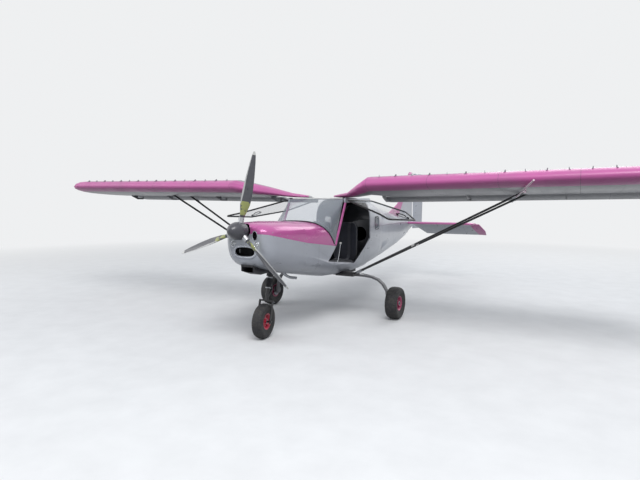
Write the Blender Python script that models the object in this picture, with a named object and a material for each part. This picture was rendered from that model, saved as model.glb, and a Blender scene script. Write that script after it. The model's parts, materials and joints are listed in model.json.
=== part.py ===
"""High-wing two-seat ultralight aircraft, parked on its tricycle gear.

The nose points toward -Y, the aircraft's port side is +X, the ground is z = 0, and a
station is a distance aft of the middle of the overall length. Sizes are in metres.
The fuselage stands nose-up, so the door line and the thrust line slope a few degrees.
Stations run aft from the spinner's tip by the length of each bay, and each piece takes
its place from the bay or the frame that carries it.
"""

import math

import bmesh
import bpy
import numpy as np
from mathutils import Matrix, Vector

for item in list(bpy.data.objects):
    bpy.data.objects.remove(item)

# Clearances
SEAT_GAP = 0.0003
TRIM_GAP = 0.0005
MOVING_GAP = 0.008
BORE_GAP = 0.001
OVERRUN = 0.05
WELD = 0.00001

# Overall
LENGTH = 6.66
HALF_SPAN = 4.49
PORT, STARBOARD = 1, -1
SIDES = {"port": PORT, "starboard": STARBOARD}

# Fuselage walls
COWL_WALL = 0.012
TUB_WALL = 0.022
SKIN_WALL = 0.014
ROOF_WALL = 0.018
ARC_STEPS = 18

# Bays of the fuselage, from the spinner's tip aft
SPINNER_LONG = 0.142
HUB_DEEP = 0.076
COWL_GAP = 0.066
COWL_LONG = 0.700
SCUTTLE_LONG = 0.380
SCREEN_SWEEP = 0.240
FRONT_BAY_LONG = 0.626
REAR_BAY_LONG = 0.524
BAGGAGE_LONG = 0.676
TAIL_LONG = 2.760

SPINNER_TIP = -LENGTH / 2
DISC_STATION = SPINNER_TIP + SPINNER_LONG + HUB_DEEP / 2
COWL_FRONT = DISC_STATION + HUB_DEEP / 2 + COWL_GAP
FIREWALL = COWL_FRONT + COWL_LONG
SCREEN_CENTRE = FIREWALL + SCUTTLE_LONG
SCREEN_SIDE = SCREEN_CENTRE + SCREEN_SWEEP
TUB_MIDDLE = SCREEN_SIDE + FRONT_BAY_LONG
CABIN_REAR = TUB_MIDDLE + REAR_BAY_LONG
BULKHEAD = CABIN_REAR + BAGGAGE_LONG
TAIL_END = BULKHEAD + TAIL_LONG
FIREWALL_THICK = 0.006
FIREWALL_SPARE = 0.002

# Frames: half width, bottom, shoulder and top of the fuselage at the ends of the bays
NOSE_HALF = 0.225
NOSE_BOTTOM = 0.945
NOSE_SHOULDER = 1.265
NOSE_TOP = 1.345
FIREWALL_HALF = 0.400
FIREWALL_BOTTOM = 0.740
FIREWALL_SHOULDER = 1.130
FIREWALL_TOP = 1.385
CABIN_HALF = 0.470
SCREEN_TAPER = 0.015
SCREEN_HALF = CABIN_HALF - SCREEN_TAPER
SCREEN_BOTTOM = 0.632
SCREEN_SHOULDER = 1.050
SCREEN_TOP = 1.370
CABIN_BOTTOM = 0.595
CABIN_SHOULDER = 1.060
ROOF_TOP = 1.685
ELBOW_BOTTOM = 0.630
ELBOW_SHOULDER = 1.090
REAR_SHOULDER = 1.200
BULKHEAD_HALF = 0.402
BULKHEAD_BOTTOM = 0.695
BULKHEAD_SHOULDER = 1.245
BULKHEAD_TOP = 1.620
TAIL_HALF = 0.034
TAIL_BOTTOM = 1.105
TAIL_SHOULDER = 1.200
TAIL_TOP = 1.225

# Roundness of the lower and the upper half at each section
COWL_POWER_SHARES = ((2.6, 2.4), (3.0, 2.5), (3.4, 2.6), (3.6, 2.8), (3.8, 3.0))
TUB_POWER_SHARES = ((3.8, 3.0), (4.2, 3.0), (4.6, 4.0), (4.6, 4.0))
REAR_POWER_SHARES = ((4.6, 4.0), (4.6, 3.0), (4.6, 2.5))
TAIL_POWER_SHARES = ((4.6, 2.5), (4.6, 1.9), (4.6, 1.7), (4.0, 1.8), (3.0, 2.0), (2.4, 2.0))

# Sections between two frames: each value's share of the way from the one to the other
COWL_BETWEEN_SHARES = (
    (0.066, 0.343, 0.220, 0.059, 0.825),
    (0.209, 0.600, 0.376, 0.222, 1.125),
    (0.566, 0.829, 0.707, 0.593, 1.250),
)
REAR_BETWEEN_SHARES = ((0.704, 0.588, 0.692, 0.778, 0.462),)
TAIL_BETWEEN_SHARES = (
    (0.172, 0.182, 0.098, -0.111, 0.177),
    (0.480, 0.481, 0.329, -0.111, 0.481),
    (0.736, 0.712, 0.598, 0.111, 0.772),
    (0.888, 0.875, 0.842, 0.556, 0.917),
)


def sections(first, last, between_shares, power_shares):
    """Sections from one frame to another: station, half width, bottom, shoulder, top, powers."""
    places = [first]
    for shares in between_shares:
        places.append(tuple(a + (b - a) * share for a, b, share in zip(first, last, shares)))
    places.append(last)
    return tuple((*place, *powers) for place, powers in zip(places, power_shares))


NOSE_FRAME = (COWL_FRONT, NOSE_HALF, NOSE_BOTTOM, NOSE_SHOULDER, NOSE_TOP)
FIREWALL_FRAME = (FIREWALL, FIREWALL_HALF, FIREWALL_BOTTOM, FIREWALL_SHOULDER, FIREWALL_TOP)
SCREEN_FRAME = (SCREEN_SIDE, SCREEN_HALF, SCREEN_BOTTOM, SCREEN_SHOULDER, SCREEN_TOP)
CABIN_FRAME = (TUB_MIDDLE, CABIN_HALF, CABIN_BOTTOM, CABIN_SHOULDER, ROOF_TOP)
ELBOW_FRAME = (CABIN_REAR, CABIN_HALF, ELBOW_BOTTOM, ELBOW_SHOULDER, ROOF_TOP)
REAR_FRAME = (CABIN_REAR, CABIN_HALF, ELBOW_BOTTOM, REAR_SHOULDER, ROOF_TOP)
BULKHEAD_FRAME = (BULKHEAD, BULKHEAD_HALF, BULKHEAD_BOTTOM, BULKHEAD_SHOULDER, BULKHEAD_TOP)
TAIL_FRAME = (TAIL_END, TAIL_HALF, TAIL_BOTTOM, TAIL_SHOULDER, TAIL_TOP)

COWL_SECTIONS = sections(NOSE_FRAME, FIREWALL_FRAME, COWL_BETWEEN_SHARES, COWL_POWER_SHARES)
TUB_SECTIONS = (
    sections(FIREWALL_FRAME, SCREEN_FRAME, (), TUB_POWER_SHARES[:2])
    + sections(CABIN_FRAME, ELBOW_FRAME, (), TUB_POWER_SHARES[2:])
)
REAR_SECTIONS = sections(REAR_FRAME, BULKHEAD_FRAME, REAR_BETWEEN_SHARES, REAR_POWER_SHARES)
TAIL_SECTIONS = sections(BULKHEAD_FRAME, TAIL_FRAME, TAIL_BETWEEN_SHARES, TAIL_POWER_SHARES)
BULKHEAD_HOLE_RADIUS = 0.120
BULKHEAD_HOLE_DROP = 0.145

# Nose openings
MOUTH_RISE = 0.117
MOUTH_WIDE = 0.290
MOUTH_HIGH = 0.126
MOUTH_POWER_SHARES = (0.7, 0.8)
EYE_INSET = 0.058
EYE_DROP = 0.020
EYE_WIDE = 0.070
EYE_HIGH = 0.105
LIGHT_INSET = 0.029
LIGHT_RISE = 0.085
LIGHT_RADIUS = 0.036
LIGHT_DEEP = 0.060
LENS_SHARE = 0.600
SCOOP_SETBACK = 0.036
SCOOP_LONG = 0.310
SCOOP_WIDE = 0.170
SCOOP_DROP = 0.075
SCOOP_WALL = 0.006
SCOOP_DEEP_SHARE = 0.600
SCOOP_FLOOR_SHARE = 0.700

MOUTH_Z = NOSE_BOTTOM + MOUTH_RISE
EYE_X = NOSE_HALF - EYE_INSET - EYE_WIDE / 2
EYE_Z = NOSE_SHOULDER - EYE_DROP
LIGHT_X = NOSE_HALF - LIGHT_INSET - LIGHT_RADIUS
LIGHT_Z = MOUTH_Z + LIGHT_RISE
SCOOP_FRONT = COWL_FRONT + SCOOP_SETBACK
SCOOP_REAR = SCOOP_FRONT + SCOOP_LONG

# Engine and propeller
THRUST_TILT = math.radians(4.0)
THRUST_RISE = 0.035
HUB_RADIUS = 0.098
SPINNER_POWER_SHARE = 1.6
SPINNER_TAPER_SHARE = 0.62
SHAFT_RADIUS = 0.050
SHAFT_HOLE_RADIUS = 0.075
CLAMP_RADIUS = 0.031
CLAMP_REACH = 0.155
BLADE_RADIUS = 0.875
BLADE_COUNT = 3
BLADE_PHASE = math.radians(11.0)
BLADE_CHORD = 0.120
BLADE_AXIS_SHARE = 0.400
BLADE_CAMBER_SHARE = 0.020
BLADE_BLUNT_SHARE = 0.980
ENGINE_LONG = 0.554
ENGINE_WIDE = 0.460
ENGINE_HIGH = 0.320
ENGINE_DROP = 0.180
ENGINE_BOSS_RADIUS = 0.060
ENGINE_BOSS_PROUD = 0.020
ENGINE_BOSS_LAP = 0.050
# Blade sections out to the tip: share of radius, share of chord, pitch in degrees, thickness share
BLADE_SHARES = (
    (CLAMP_REACH / BLADE_RADIUS, 0.417, 62, 0.90),
    (0.230, 0.600, 56, 0.52),
    (0.340, 0.930, 48, 0.23),
    (0.500, 0.970, 39, 0.14),
    (0.680, 0.800, 33, 0.11),
    (0.850, 0.560, 28, 0.09),
    (0.960, 0.350, 25, 0.08),
    (1.000, 0.160, 24, 0.08),
)

THRUST_Z = NOSE_SHOULDER + THRUST_RISE
ENGINE_FRONT = FIREWALL - ENGINE_LONG
ENGINE_Z = THRUST_Z - ENGINE_DROP
SHAFT_LONG = ENGINE_FRONT - ENGINE_BOSS_PROUD - DISC_STATION

# Cabin frame
POST_RADIUS = 0.016
POST_INSET = 0.009
POST_SETBACK = 0.026
POST_SLOPE_SHARE = 0.450
POST_HEAD_SHARE = 1.200
SCREEN_RAKE = 0.296
RAIL_INSET = 0.007
RAIL_WIDE = 0.030
RAIL_DROP = 0.047
ROOF_BOW = 0.120
ROOF_BOW_SHARE = 2.5
SCREEN_THICK = 0.005
SCREEN_LIFT = 0.0036
SCREEN_SEAT = 0.0036
SCREEN_CROWN = 0.010
SCREEN_BULGE = 0.035
SCREEN_FORWARD_SHARE = 0.600
SCREEN_UPWARD_SHARE = 0.800
SCUTTLE_POWER_SHARE = 3.0

RAIL_FRONT = SCREEN_SIDE + SCREEN_RAKE
RAIL_OUT = CABIN_HALF - RAIL_INSET
ROOF_LOW = ROOF_TOP - ROOF_WALL
RAIL_LOW = ROOF_LOW - RAIL_DROP
ROOF_CENTRE_FRONT = RAIL_FRONT + ROOF_BOW
POST_BASE = (SCREEN_HALF - POST_INSET, SCREEN_SIDE + POST_SETBACK, SCREEN_SHOULDER + SEAT_GAP)

# Interior
PANEL_SETBACK = 0.044
PANEL_WIDE = 0.900
PANEL_DROP = 0.010
PANEL_TOP_DROP = 0.070
PANEL_TOP_SHARE = 0.800
PANEL_CORNER = 0.060
PANEL_THICK = 0.020
SEAT_INNER = 0.030
SEAT_WIDE = 0.365
SEAT_SETBACK = 0.284
SEAT_LONG = 0.470
SEAT_HIGH = 0.195
SEAT_BACK_HIGH = 0.540
SEAT_BACK_THICK = 0.100
SEAT_ROUND = 0.030
COLUMN_RADIUS = 0.012
COLUMN_FORWARD = 0.150
COLUMN_LEAN = 0.020
COLUMN_KNEE = 0.305
COLUMN_HOOK = 0.050
COLUMN_GRIP = 0.120

PANEL_STATION = SCREEN_CENTRE - PANEL_SETBACK
PANEL_LOW = SCREEN_SHOULDER - PANEL_DROP
PANEL_TOP = SCREEN_TOP - PANEL_TOP_DROP
SEAT_OUTER = SEAT_INNER + SEAT_WIDE
SEAT_REAR = CABIN_REAR - SEAT_SETBACK
SEAT_FRONT = SEAT_REAR - SEAT_LONG
SEAT_FLOOR = CABIN_BOTTOM - OVERRUN
SEAT_TOP = CABIN_BOTTOM + SEAT_HIGH
SEAT_BACK_TOP = SEAT_TOP + SEAT_BACK_HIGH
ROOM_HEIGHT = ROOF_LOW - ELBOW_SHOULDER
COLUMN_STATION = SEAT_FRONT - COLUMN_FORWARD
COLUMN_LINE = (
    (0, COLUMN_STATION, CABIN_BOTTOM),
    (0, COLUMN_STATION - COLUMN_LEAN, CABIN_BOTTOM + COLUMN_KNEE),
    (0, COLUMN_STATION + COLUMN_HOOK, CABIN_BOTTOM + COLUMN_KNEE + COLUMN_GRIP),
)

# Door opening
DOOR_TOP_DROP = 0.022
DOOR_SHOULDER_SETBACK = 0.036
DOOR_SILL_FORWARD = 0.154
DOOR_SILL_DROP = 0.190
DOOR_SILL_REAR_FORWARD = 0.026
DOOR_SILL_RISE = 0.169
DOOR_TOP_FORWARD = 0.024
DOOR_TUBE_RADIUS = 0.011
DOOR_PROUD = 0.023
DOOR_OPEN = math.radians(73.0)
DOOR_PANE = 0.004
DOOR_CORNER = 0.045
DOOR_INSET = 0.004
DOOR_HINGE_SHARES = (0.15, 0.75)
DOOR_HINGE_LONG = 0.060
REAR_WINDOW_SETBACK = 0.340
REAR_WINDOW_RISE = 0.105
REAR_WINDOW_LONG = 0.200
REAR_WINDOW_HIGH = 0.190
REAR_WINDOW_SHARES = (0.800, 0.900, 0.350)
REAR_PANE_INSET = 0.005

# The opening's corners, as (station, height)
DOOR_TOP = ROOF_LOW - DOOR_TOP_DROP
DOOR_FRONT_TOP = (RAIL_FRONT, DOOR_TOP)
DOOR_FRONT_SHOULDER = (SCREEN_SIDE + DOOR_SHOULDER_SETBACK, SCREEN_SHOULDER)
DOOR_FRONT_SILL = (SCREEN_SIDE - DOOR_SILL_FORWARD, SCREEN_SHOULDER - DOOR_SILL_DROP)
DOOR_REAR_SILL = (TUB_MIDDLE - DOOR_SILL_REAR_FORWARD, CABIN_BOTTOM + DOOR_SILL_RISE)
DOOR_REAR_ELBOW = (CABIN_REAR, ELBOW_SHOULDER)
DOOR_REAR_TOP = (CABIN_REAR - DOOR_TOP_FORWARD, DOOR_TOP)
DOOR_PLANE = CABIN_HALF + DOOR_PROUD
REAR_WINDOW = (CABIN_REAR + REAR_WINDOW_SETBACK, REAR_SHOULDER + REAR_WINDOW_RISE)

# Wing
WING_FORWARD = 0.348
WING_RISE = 0.143
WING_CHORD = 1.080
WING_THICK_SHARE = 0.185
WING_CAMBER_SHARE = 0.030
WING_INCIDENCE = math.radians(7.8)
ROOT_INCIDENCE = math.radians(3.5)
DIHEDRAL_SLOPE = 0.014
WING_BREAK = 1.000
TIP_LONG = 0.190
AEROFOIL_STEPS = 11
BLUNT_SHARE = 0.975
FLAPERON_CHORD = 0.360
FLAPERON_LAP = 0.012
FLAPERON_DROP = 0.140
FLAPERON_THICK_SHARE = 0.135
FLAPERON_BLUNT_SHARE = 0.970
FLAPERON_ANGLE = math.radians(12.0)
FLAPERON_ROOT = 0.830
FLAPERON_TIP_INSET = 0.310
HINGE_SETBACK = 0.071
HINGE_DROP = 0.060
HINGE_PLATE = 0.006
HINGE_ARM = 0.012
HINGE_ARM_LONG = 0.295
HINGE_PLATE_PROUD = 0.016
HINGE_PLATE_LAP = 0.025
HINGE_PLATE_SHARES = (1.000, 0.864, 0.424, 0.407, 0.475)
HINGE_PLACE_SHARES = (0.021, 0.349, 0.678, 0.946)

WING_LE = SCREEN_SIDE - WING_FORWARD
WING_LE_Z = ROOF_TOP + WING_RISE
FLAPERON_LE = (WING_LE + WING_CHORD - FLAPERON_LAP, WING_LE_Z - FLAPERON_DROP)
FLAPERON_TIP = HALF_SPAN - FLAPERON_TIP_INSET
HINGE_STATION = FLAPERON_LE[0] + HINGE_SETBACK
HINGE_Z = FLAPERON_LE[1] - HINGE_DROP
HINGE_PLACES = [FLAPERON_ROOT + (FLAPERON_TIP - FLAPERON_ROOT) * s for s in HINGE_PLACE_SHARES]
# Root fairing: shares of the break's distance, of the sweep and the rise from the roof's front
# edge to the wing's nose, and of the chord; then thickness as a share of its own chord
WING_ROOT_SHARES = (
    (0.235, -0.132, 0.1364, 0.2963, 0.0938),
    (0.470, 0.016, 0.2657, 0.3889, 0.1476),
    (0.740, 0.543, 0.6644, 0.6852, 0.1757),
)
# Rounded tip: share of the tip's length, share of the section kept
WING_TIP_SHARES = ((0.45, 0.96), (0.80, 0.82), (0.97, 0.55), (1.0, 0.30))

# Lift struts
STRUT_CHORD = 0.056
STRUT_THICK = 0.026
STRUT_BLUNT_SHARE = 0.940
STRUT_AXIS_SHARE = 0.400
STRUT_OUT = 0.090
STRUT_FORWARD = 0.211
STRUT_RISE = 0.045
STRUT_TOP_OUT = 2.673
FRONT_SPAR_SHARE = 0.572
REAR_SPAR_SHARE = 0.939
STRUT_SPREAD = 0.032
BRACKET_WIDE = 0.260
BRACKET_TAIL = 0.060
BRACKET_HIGH = 0.064
BRACKET_TAPER_SHARE = 0.600
BRACKET_ROUND = 0.012
BRACKET_LAP = 0.012

STRUT_LOW = (CABIN_HALF + STRUT_OUT, TUB_MIDDLE - STRUT_FORWARD, CABIN_BOTTOM + STRUT_RISE)
STRUT_FRONT_TOP = (STRUT_TOP_OUT, WING_LE + WING_CHORD * FRONT_SPAR_SHARE)
STRUT_REAR_TOP = (STRUT_TOP_OUT, WING_LE + WING_CHORD * REAR_SPAR_SHARE)
BRACKET_INNER = STRUT_LOW[0] - BRACKET_WIDE

# Main gear
WHEEL_X = 1.032
AXLE_AFT = 0.073
TYRE_RADIUS = 0.2245
TYRE_WIDE = 0.172
TYRE_CROWN_SHARE = 0.460
TYRE_POWER_SHARES = (0.55, 0.80)
RIM_RADIUS = 0.098
RIM_WIDE = 0.120
RIM_BOSS_SHARES = (2.2, 2.4)
RIM_WEB_SHARES = (0.82, 0.88)
AXLE_RADIUS = 0.016
AXLE_PROUD = 0.012
BOW_AFT = 0.030
BOW_THICK = 0.024
BOW_CHORD = 0.090
BOW_TAPER_SHARE = 0.250
BOW_STRAIGHT_SHARE = 0.595
BOW_CLEARANCE = 0.022
# The bow's middle surface: share of the way out, share of the way down to the axle
BOW_SHARES = (
    (0.000, 0.000),
    (0.649, 0.000),
    (0.758, 0.039),
    (0.850, 0.134),
    (0.920, 0.288),
    (0.981, 0.553),
    (1.000, 0.888),
    (1.000, 1.098),
)

BOW_STATION = TUB_MIDDLE + BOW_AFT
BOW_TOP = CABIN_BOTTOM - TRIM_GAP
WHEEL_STATION = BOW_STATION + AXLE_AFT

# Nose gear
NOSE_FORWARD = 0.353
NOSE_TYRE_RADIUS = 0.207
NOSE_TYRE_WIDE = 0.128
NOSE_RIM_RADIUS = 0.092
NOSE_RIM_WIDE = 0.092
NOSE_AXLE_SHARE = 0.750
STEER_FORWARD = 0.200
STEER_RISE = 0.060
STEER_TURN = math.radians(8.0)
LEG_RADIUS = 0.022
CROWN_CLEARANCE = 0.041
CROWN_ABOVE = 0.006
CROWN_BELOW = 0.014
FORK_CLEARANCE = 0.015
FORK_BLADE_THICK = 0.010
FORK_BLADE_WIDE = 0.040
FORK_FOOT = 0.030
FORK_AXLE_PROUD = 0.014
LINK_TOP_DROP = 0.130
LINK_KNEE_REACH = 0.062
LINK_KNEE_RISE = 0.020
LINK_FOOT_RISE = 0.030
LINK_THICK = 0.024
LINK_HALF = 0.014
LINK_LAP_SHARE = 0.500
SOCKET_WALL = 0.020
SOCKET_BELOW = 0.075
SOCKET_ABOVE = 0.030
SOCKET_ARM_SHARES = (0.800, 0.200, 0.400)

NOSE_STATION = FIREWALL - NOSE_FORWARD
STEER_TOP = (FIREWALL - STEER_FORWARD, FIREWALL_BOTTOM + STEER_RISE)
FORK_CROWN_Z = NOSE_TYRE_RADIUS * 2 + CROWN_CLEARANCE
FORK_BLADE_X = NOSE_TYRE_WIDE / 2 + FORK_CLEARANCE + FORK_BLADE_THICK / 2
SOCKET_RADIUS = LEG_RADIUS + SOCKET_WALL
NOSE_AXLE_RADIUS = AXLE_RADIUS * NOSE_AXLE_SHARE

# Tailplane and elevator
PLATE_HALF = 0.010
TORQUE_TUBE_RADIUS = 0.012
STAB_RISE = 0.015
STAB_CHORD = 0.340
STAB_BLUNT_SHARE = 0.930
STAB_TO_HINGE = 0.0548
STAB_HALF_SPAN = 1.430
STAB_THICK = 0.055
STAB_TIP_SWEEP_SHARE = 0.350
STAB_PLATE_SHARE = 0.800
STAB_SLOT_SHARES = (1.03, 0.935)
ELEVATOR_HINGE_FORWARD = 0.235
ELEVATOR_HINGE_DROP = 0.002
ELEVATOR_CHORD = 0.450
ELEVATOR_THICK = 0.042
ELEVATOR_BLUNT_SHARE = 0.970
ELEVATOR_DROOP = math.radians(32.0)
ELEVATOR_INNER = 0.115
ELEVATOR_HORN = 0.130
ELEVATOR_HINGE_SHARES = (0.238, 0.909)
# Tailplane, out to the tip: share of the half span, share of the section kept
STAB_SHARES = (
    (-1.000, 0.55),
    (-0.975, 0.90),
    (-0.920, 1.00),
    (0.920, 1.00),
    (0.975, 0.90),
    (1.000, 0.55),
)
# Elevator half: share of the way out, nose behind the hinge and chord as shares of the chord
ELEVATOR_SHARES = (
    (0.000, -0.027, 0.267),
    (0.038, -0.027, 0.478),
    (0.142, 0.044, 1.000),
    (0.938, 0.044, 1.000),
    (1.000, 0.644, 0.400),
)

ELEVATOR_HINGE = (TAIL_END - ELEVATOR_HINGE_FORWARD, TAIL_SHOULDER + STAB_RISE - ELEVATOR_HINGE_DROP)
STAB_LE = ELEVATOR_HINGE[0] - STAB_TO_HINGE - STAB_CHORD * STAB_BLUNT_SHARE
STAB_Z = TAIL_SHOULDER + STAB_RISE
ELEVATOR_HALF_SPAN = STAB_HALF_SPAN + ELEVATOR_HORN
ELEVATOR_TABLE = [
    (
        ELEVATOR_INNER + (ELEVATOR_HALF_SPAN - ELEVATOR_INNER) * out,
        ELEVATOR_CHORD * nose,
        ELEVATOR_CHORD * chord,
    )
    for out, nose, chord in ELEVATOR_SHARES
]
ELEVATOR_HINGES = [STAB_HALF_SPAN * share for share in ELEVATOR_HINGE_SHARES]

# Fin and rudder
FIN_THICK = 0.050
FIN_BASE_DROP = 0.020
FIN_HIGH = 1.105
FIN_LONG = 1.461
FIN_PROUD = 0.025
FIN_TO_HINGE = 0.030
RUDDER_CHORD = 0.425
RUDDER_NOSE = 0.022
RUDDER_DROP = 0.105
RUDDER_HIGH = 1.190
RUDDER_THICK_SHARE = 0.900
RUDDER_BLUNT_SHARE = 0.970
RUDDER_TURN = math.radians(15.0)
RUDDER_HINGE_SHARES = (0.109, 0.471, 0.878)
# Fin: share of the height, distance of the nose ahead of the tail as a share of the length
FIN_SHARES = (
    (0.000, 1.000),
    (0.226, 1.000),
    (0.384, 0.654),
    (0.950, 0.192),
    (1.000, 0.133),
)
# Rudder: share of the height, distance of the tail behind the hinge as a share of the chord
RUDDER_SHARES = (
    (0.000, 0.776),
    (0.071, 0.941),
    (0.945, 1.000),
    (1.000, 0.941),
)

FIN_BASE = TAIL_SHOULDER - FIN_BASE_DROP
FIN_TAIL = TAIL_END + FIN_PROUD
FIN_HINGE = FIN_TAIL + FIN_TO_HINGE
FIN_TABLE = [(FIN_BASE + FIN_HIGH * up, FIN_TAIL - FIN_LONG * ahead) for up, ahead in FIN_SHARES]
RUDDER_TABLE = [
    (FIN_BASE - RUDDER_DROP + RUDDER_HIGH * up, RUDDER_CHORD * behind)
    for up, behind in RUDDER_SHARES
]
RUDDER_HINGES = [FIN_BASE + FIN_HIGH * share for share in RUDDER_HINGE_SHARES]

# Air probe
PROBE_OUT = 2.760
PROBE_AFT = 0.094
PROBE_DROP = 0.080
PROBE_REACH = 0.180
PROBE_RADIUS = 0.006

FINISHES = {}


def finish(name, colour, roughness, metallic=0.0, alpha=1.0):
    """A named material with its own colour, roughness and metal value."""
    made = bpy.data.materials.new(name)
    made.use_nodes = True
    shader = made.node_tree.nodes["Principled BSDF"]
    shader.inputs["Base Color"].default_value = (*colour, 1.0)
    shader.inputs["Roughness"].default_value = roughness
    shader.inputs["Metallic"].default_value = metallic
    shader.inputs["Alpha"].default_value = alpha
    FINISHES[name] = made


finish("silver_paint", (0.62, 0.64, 0.66), 0.35, 0.3)
finish("magenta_paint", (0.58, 0.03, 0.26), 0.30)
finish("grey_skin", (0.48, 0.48, 0.48), 0.45, 0.2)
finish("black_paint", (0.02, 0.02, 0.02), 0.45)
finish("black_plastic", (0.03, 0.03, 0.03), 0.60)
finish("bare_metal", (0.70, 0.71, 0.72), 0.30, 1.0)
finish("chrome", (0.80, 0.80, 0.80), 0.10, 1.0)
finish("tyre_rubber", (0.025, 0.025, 0.025), 0.85)
finish("clear_glass", (0.75, 0.82, 0.85), 0.05, 0.0, 0.30)
finish("seat_cloth", (0.06, 0.07, 0.10), 0.90)
finish("engine_metal", (0.25, 0.25, 0.25), 0.55, 0.6)


def place(name, mesh, finish_name, carrier=None):
    """Links a mesh as a named object with its material."""
    made = bpy.data.objects.new(name, mesh)
    bpy.context.scene.collection.objects.link(made)
    made.data.materials.append(FINISHES[finish_name])
    made.parent = carrier
    return made


def solid(name, points, faces, finish_name, carrier=None, smooth=True):
    """A closed mesh from points and faces, welded, facing out and shaded."""
    mesh = bpy.data.meshes.new(name)
    mesh.from_pydata([tuple(map(float, p)) for p in points], [], faces)
    work = bmesh.new()
    work.from_mesh(mesh)
    bmesh.ops.remove_doubles(work, verts=work.verts, dist=WELD)
    bmesh.ops.recalc_face_normals(work, faces=work.faces)
    work.to_mesh(mesh)
    work.free()
    if smooth:
        mesh.shade_smooth()
        mesh.set_sharp_from_angle(angle=math.radians(35.0))
    return place(name, mesh, finish_name, carrier)


def loft(
    name, rings, finish_name, carrier=None, closed=False, smooth=True, shift=0, split=True
):
    """Skins a run of closed rings that all have the same number of points."""
    count = len(rings[0])
    points = np.concatenate([np.asarray(ring, float) for ring in rings])
    spans = len(rings) if closed else len(rings) - 1
    faces = []
    for i in range(spans):
        here = i * count
        there = (i + 1) % len(rings) * count
        turn = shift if i == len(rings) - 1 else 0
        for k in range(count):
            n = (k + 1) % count
            far, near = (n + turn) % count, (k + turn) % count
            if split:
                faces.append((here + k, here + n, there + far))
                faces.append((here + k, there + far, there + near))
            else:
                faces.append((here + k, here + n, there + far, there + near))
    if not closed:
        last = (len(rings) - 1) * count
        faces.append(tuple(range(count)))
        faces.append(tuple(last + k for k in reversed(range(count))))
    return solid(name, points, faces, finish_name, carrier, smooth)


def turned(name, profile, centre, axis, finish_name, carrier=None, steps=36):
    """Turns a closed outline of (radius, distance along the axis) about the axis."""
    along = Vector(axis).normalized()
    side = Vector((0, 0, 1)) if abs(along.z) < 0.7 else Vector((0, 1, 0))
    side = (side - along * side.dot(along)).normalized()
    up = along.cross(side)
    rings = []
    for k in range(steps):
        turn = 2 * math.pi * k / steps
        out = side * math.cos(turn) + up * math.sin(turn)
        rings.append([Vector(centre) + out * r + along * t for r, t in profile])
    return loft(name, rings, finish_name, carrier, closed=True)


def disc(name, radius, low, high, centre, axis, finish_name, carrier=None, steps=32):
    """A plain cylinder between two distances along its axis."""
    profile = ((0.0, low), (radius, low), (radius, high), (0.0, high))
    return turned(name, profile, centre, axis, finish_name, carrier, steps)


def prism(name, outline, axis, low, high, finish_name, carrier=None, smooth=False):
    """Extrudes an outline along x, y or z, its pairs being the other two axes in order."""
    along = "xyz".index(axis)
    others = [k for k in range(3) if k != along]
    rings = []
    for level in (low, high):
        ring = np.zeros((len(outline), 3))
        ring[:, others] = outline
        ring[:, along] = level
        rings.append(ring)
    return loft(name, rings, finish_name, carrier, smooth=smooth, split=False)


def box(name, low, high, finish_name, carrier=None, round_edge=0.0):
    """A block between two corners, its edges rounded where a radius is given."""
    outline = ((low[0], low[1]), (high[0], low[1]), (high[0], high[1]), (low[0], high[1]))
    made = prism(name, outline, "z", low[2], high[2], finish_name, carrier)
    if round_edge:
        edge = made.modifiers.new("edges", "BEVEL")
        edge.width = round_edge
        edge.segments = 3
        edge.limit_method = "ANGLE"
    return made


def rounded(corners, radius, steps=5):
    """Replaces each corner of a closed outline by an arc of the given radius."""
    made = []
    corners = [np.asarray(c, float) for c in corners]
    for k, corner in enumerate(corners):
        before = corners[k - 1] - corner
        after = corners[(k + 1) % len(corners)] - corner
        before_unit = before / np.linalg.norm(before)
        after_unit = after / np.linalg.norm(after)
        half = math.acos(float(np.clip(before_unit @ after_unit, -1, 1))) / 2
        run = radius / math.tan(half)
        start = corner + before_unit * run
        end = corner + after_unit * run
        for step in range(steps + 1):
            t = step / steps
            made.append((1 - t) ** 2 * start + 2 * t * (1 - t) * corner + t**2 * end)
    return made


def shrunk(outline, distance):
    """A closed outline of pairs moved inward by a distance."""
    points = [np.asarray(p, float) for p in outline]
    area = sum(a[0] * b[1] - a[1] * b[0] for a, b in zip(points, points[1:] + points[:1]))
    turn = math.copysign(1.0, area)
    made = []
    for k, point in enumerate(points):
        before = unit(point - points[k - 1])
        after = unit(points[(k + 1) % len(points)] - point)
        normal = unit(np.array((-before[1] - after[1], before[0] + after[0])) * turn)
        square = np.array((-before[1], before[0])) * turn
        made.append(point + normal * distance / float(normal @ square))
    return made


def pipe(name, points, radius, finish_name, carrier=None, cyclic=False, steps=10):
    """A round tube along a run of points, mitred at each bend."""
    points = [np.asarray(p, float) for p in points]
    rings = []
    across = None
    for k, point in enumerate(points):
        before = points[k - 1] if k or cyclic else None
        after = points[(k + 1) % len(points)] if k + 1 < len(points) or cyclic else None
        inward = unit(point - before) if before is not None else unit(after - point)
        outward = unit(after - point) if after is not None else inward
        along = unit(inward + outward)
        stretch = 1 / max(0.5, float(along @ inward))
        bend = outward - inward
        bend = unit(bend - along * (bend @ along)) if np.linalg.norm(bend) > WELD else None
        if across is None:
            across = np.array(Vector(along).orthogonal().normalized())
        across = unit(across - along * (across @ along))
        up = np.cross(along, across)
        ring = []
        for step in range(steps):
            turn = 2 * math.pi * step / steps
            out = (across * math.cos(turn) + up * math.sin(turn)) * radius
            if bend is not None:
                out = out + bend * (out @ bend) * (stretch - 1)
            ring.append(point + out)
        rings.append(ring)
    if cyclic:
        # The frame comes back turned, so the last span matches nearest points
        first = np.array(rings[0])
        last = np.array(rings[-1])
        shift = int(np.argmin(np.linalg.norm(first - last[0], axis=1)))
        rings = [rings[0]] + rings[1:]
        return loft(name, rings, finish_name, carrier, closed=True, shift=shift)
    return loft(name, rings, finish_name, carrier)


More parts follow.
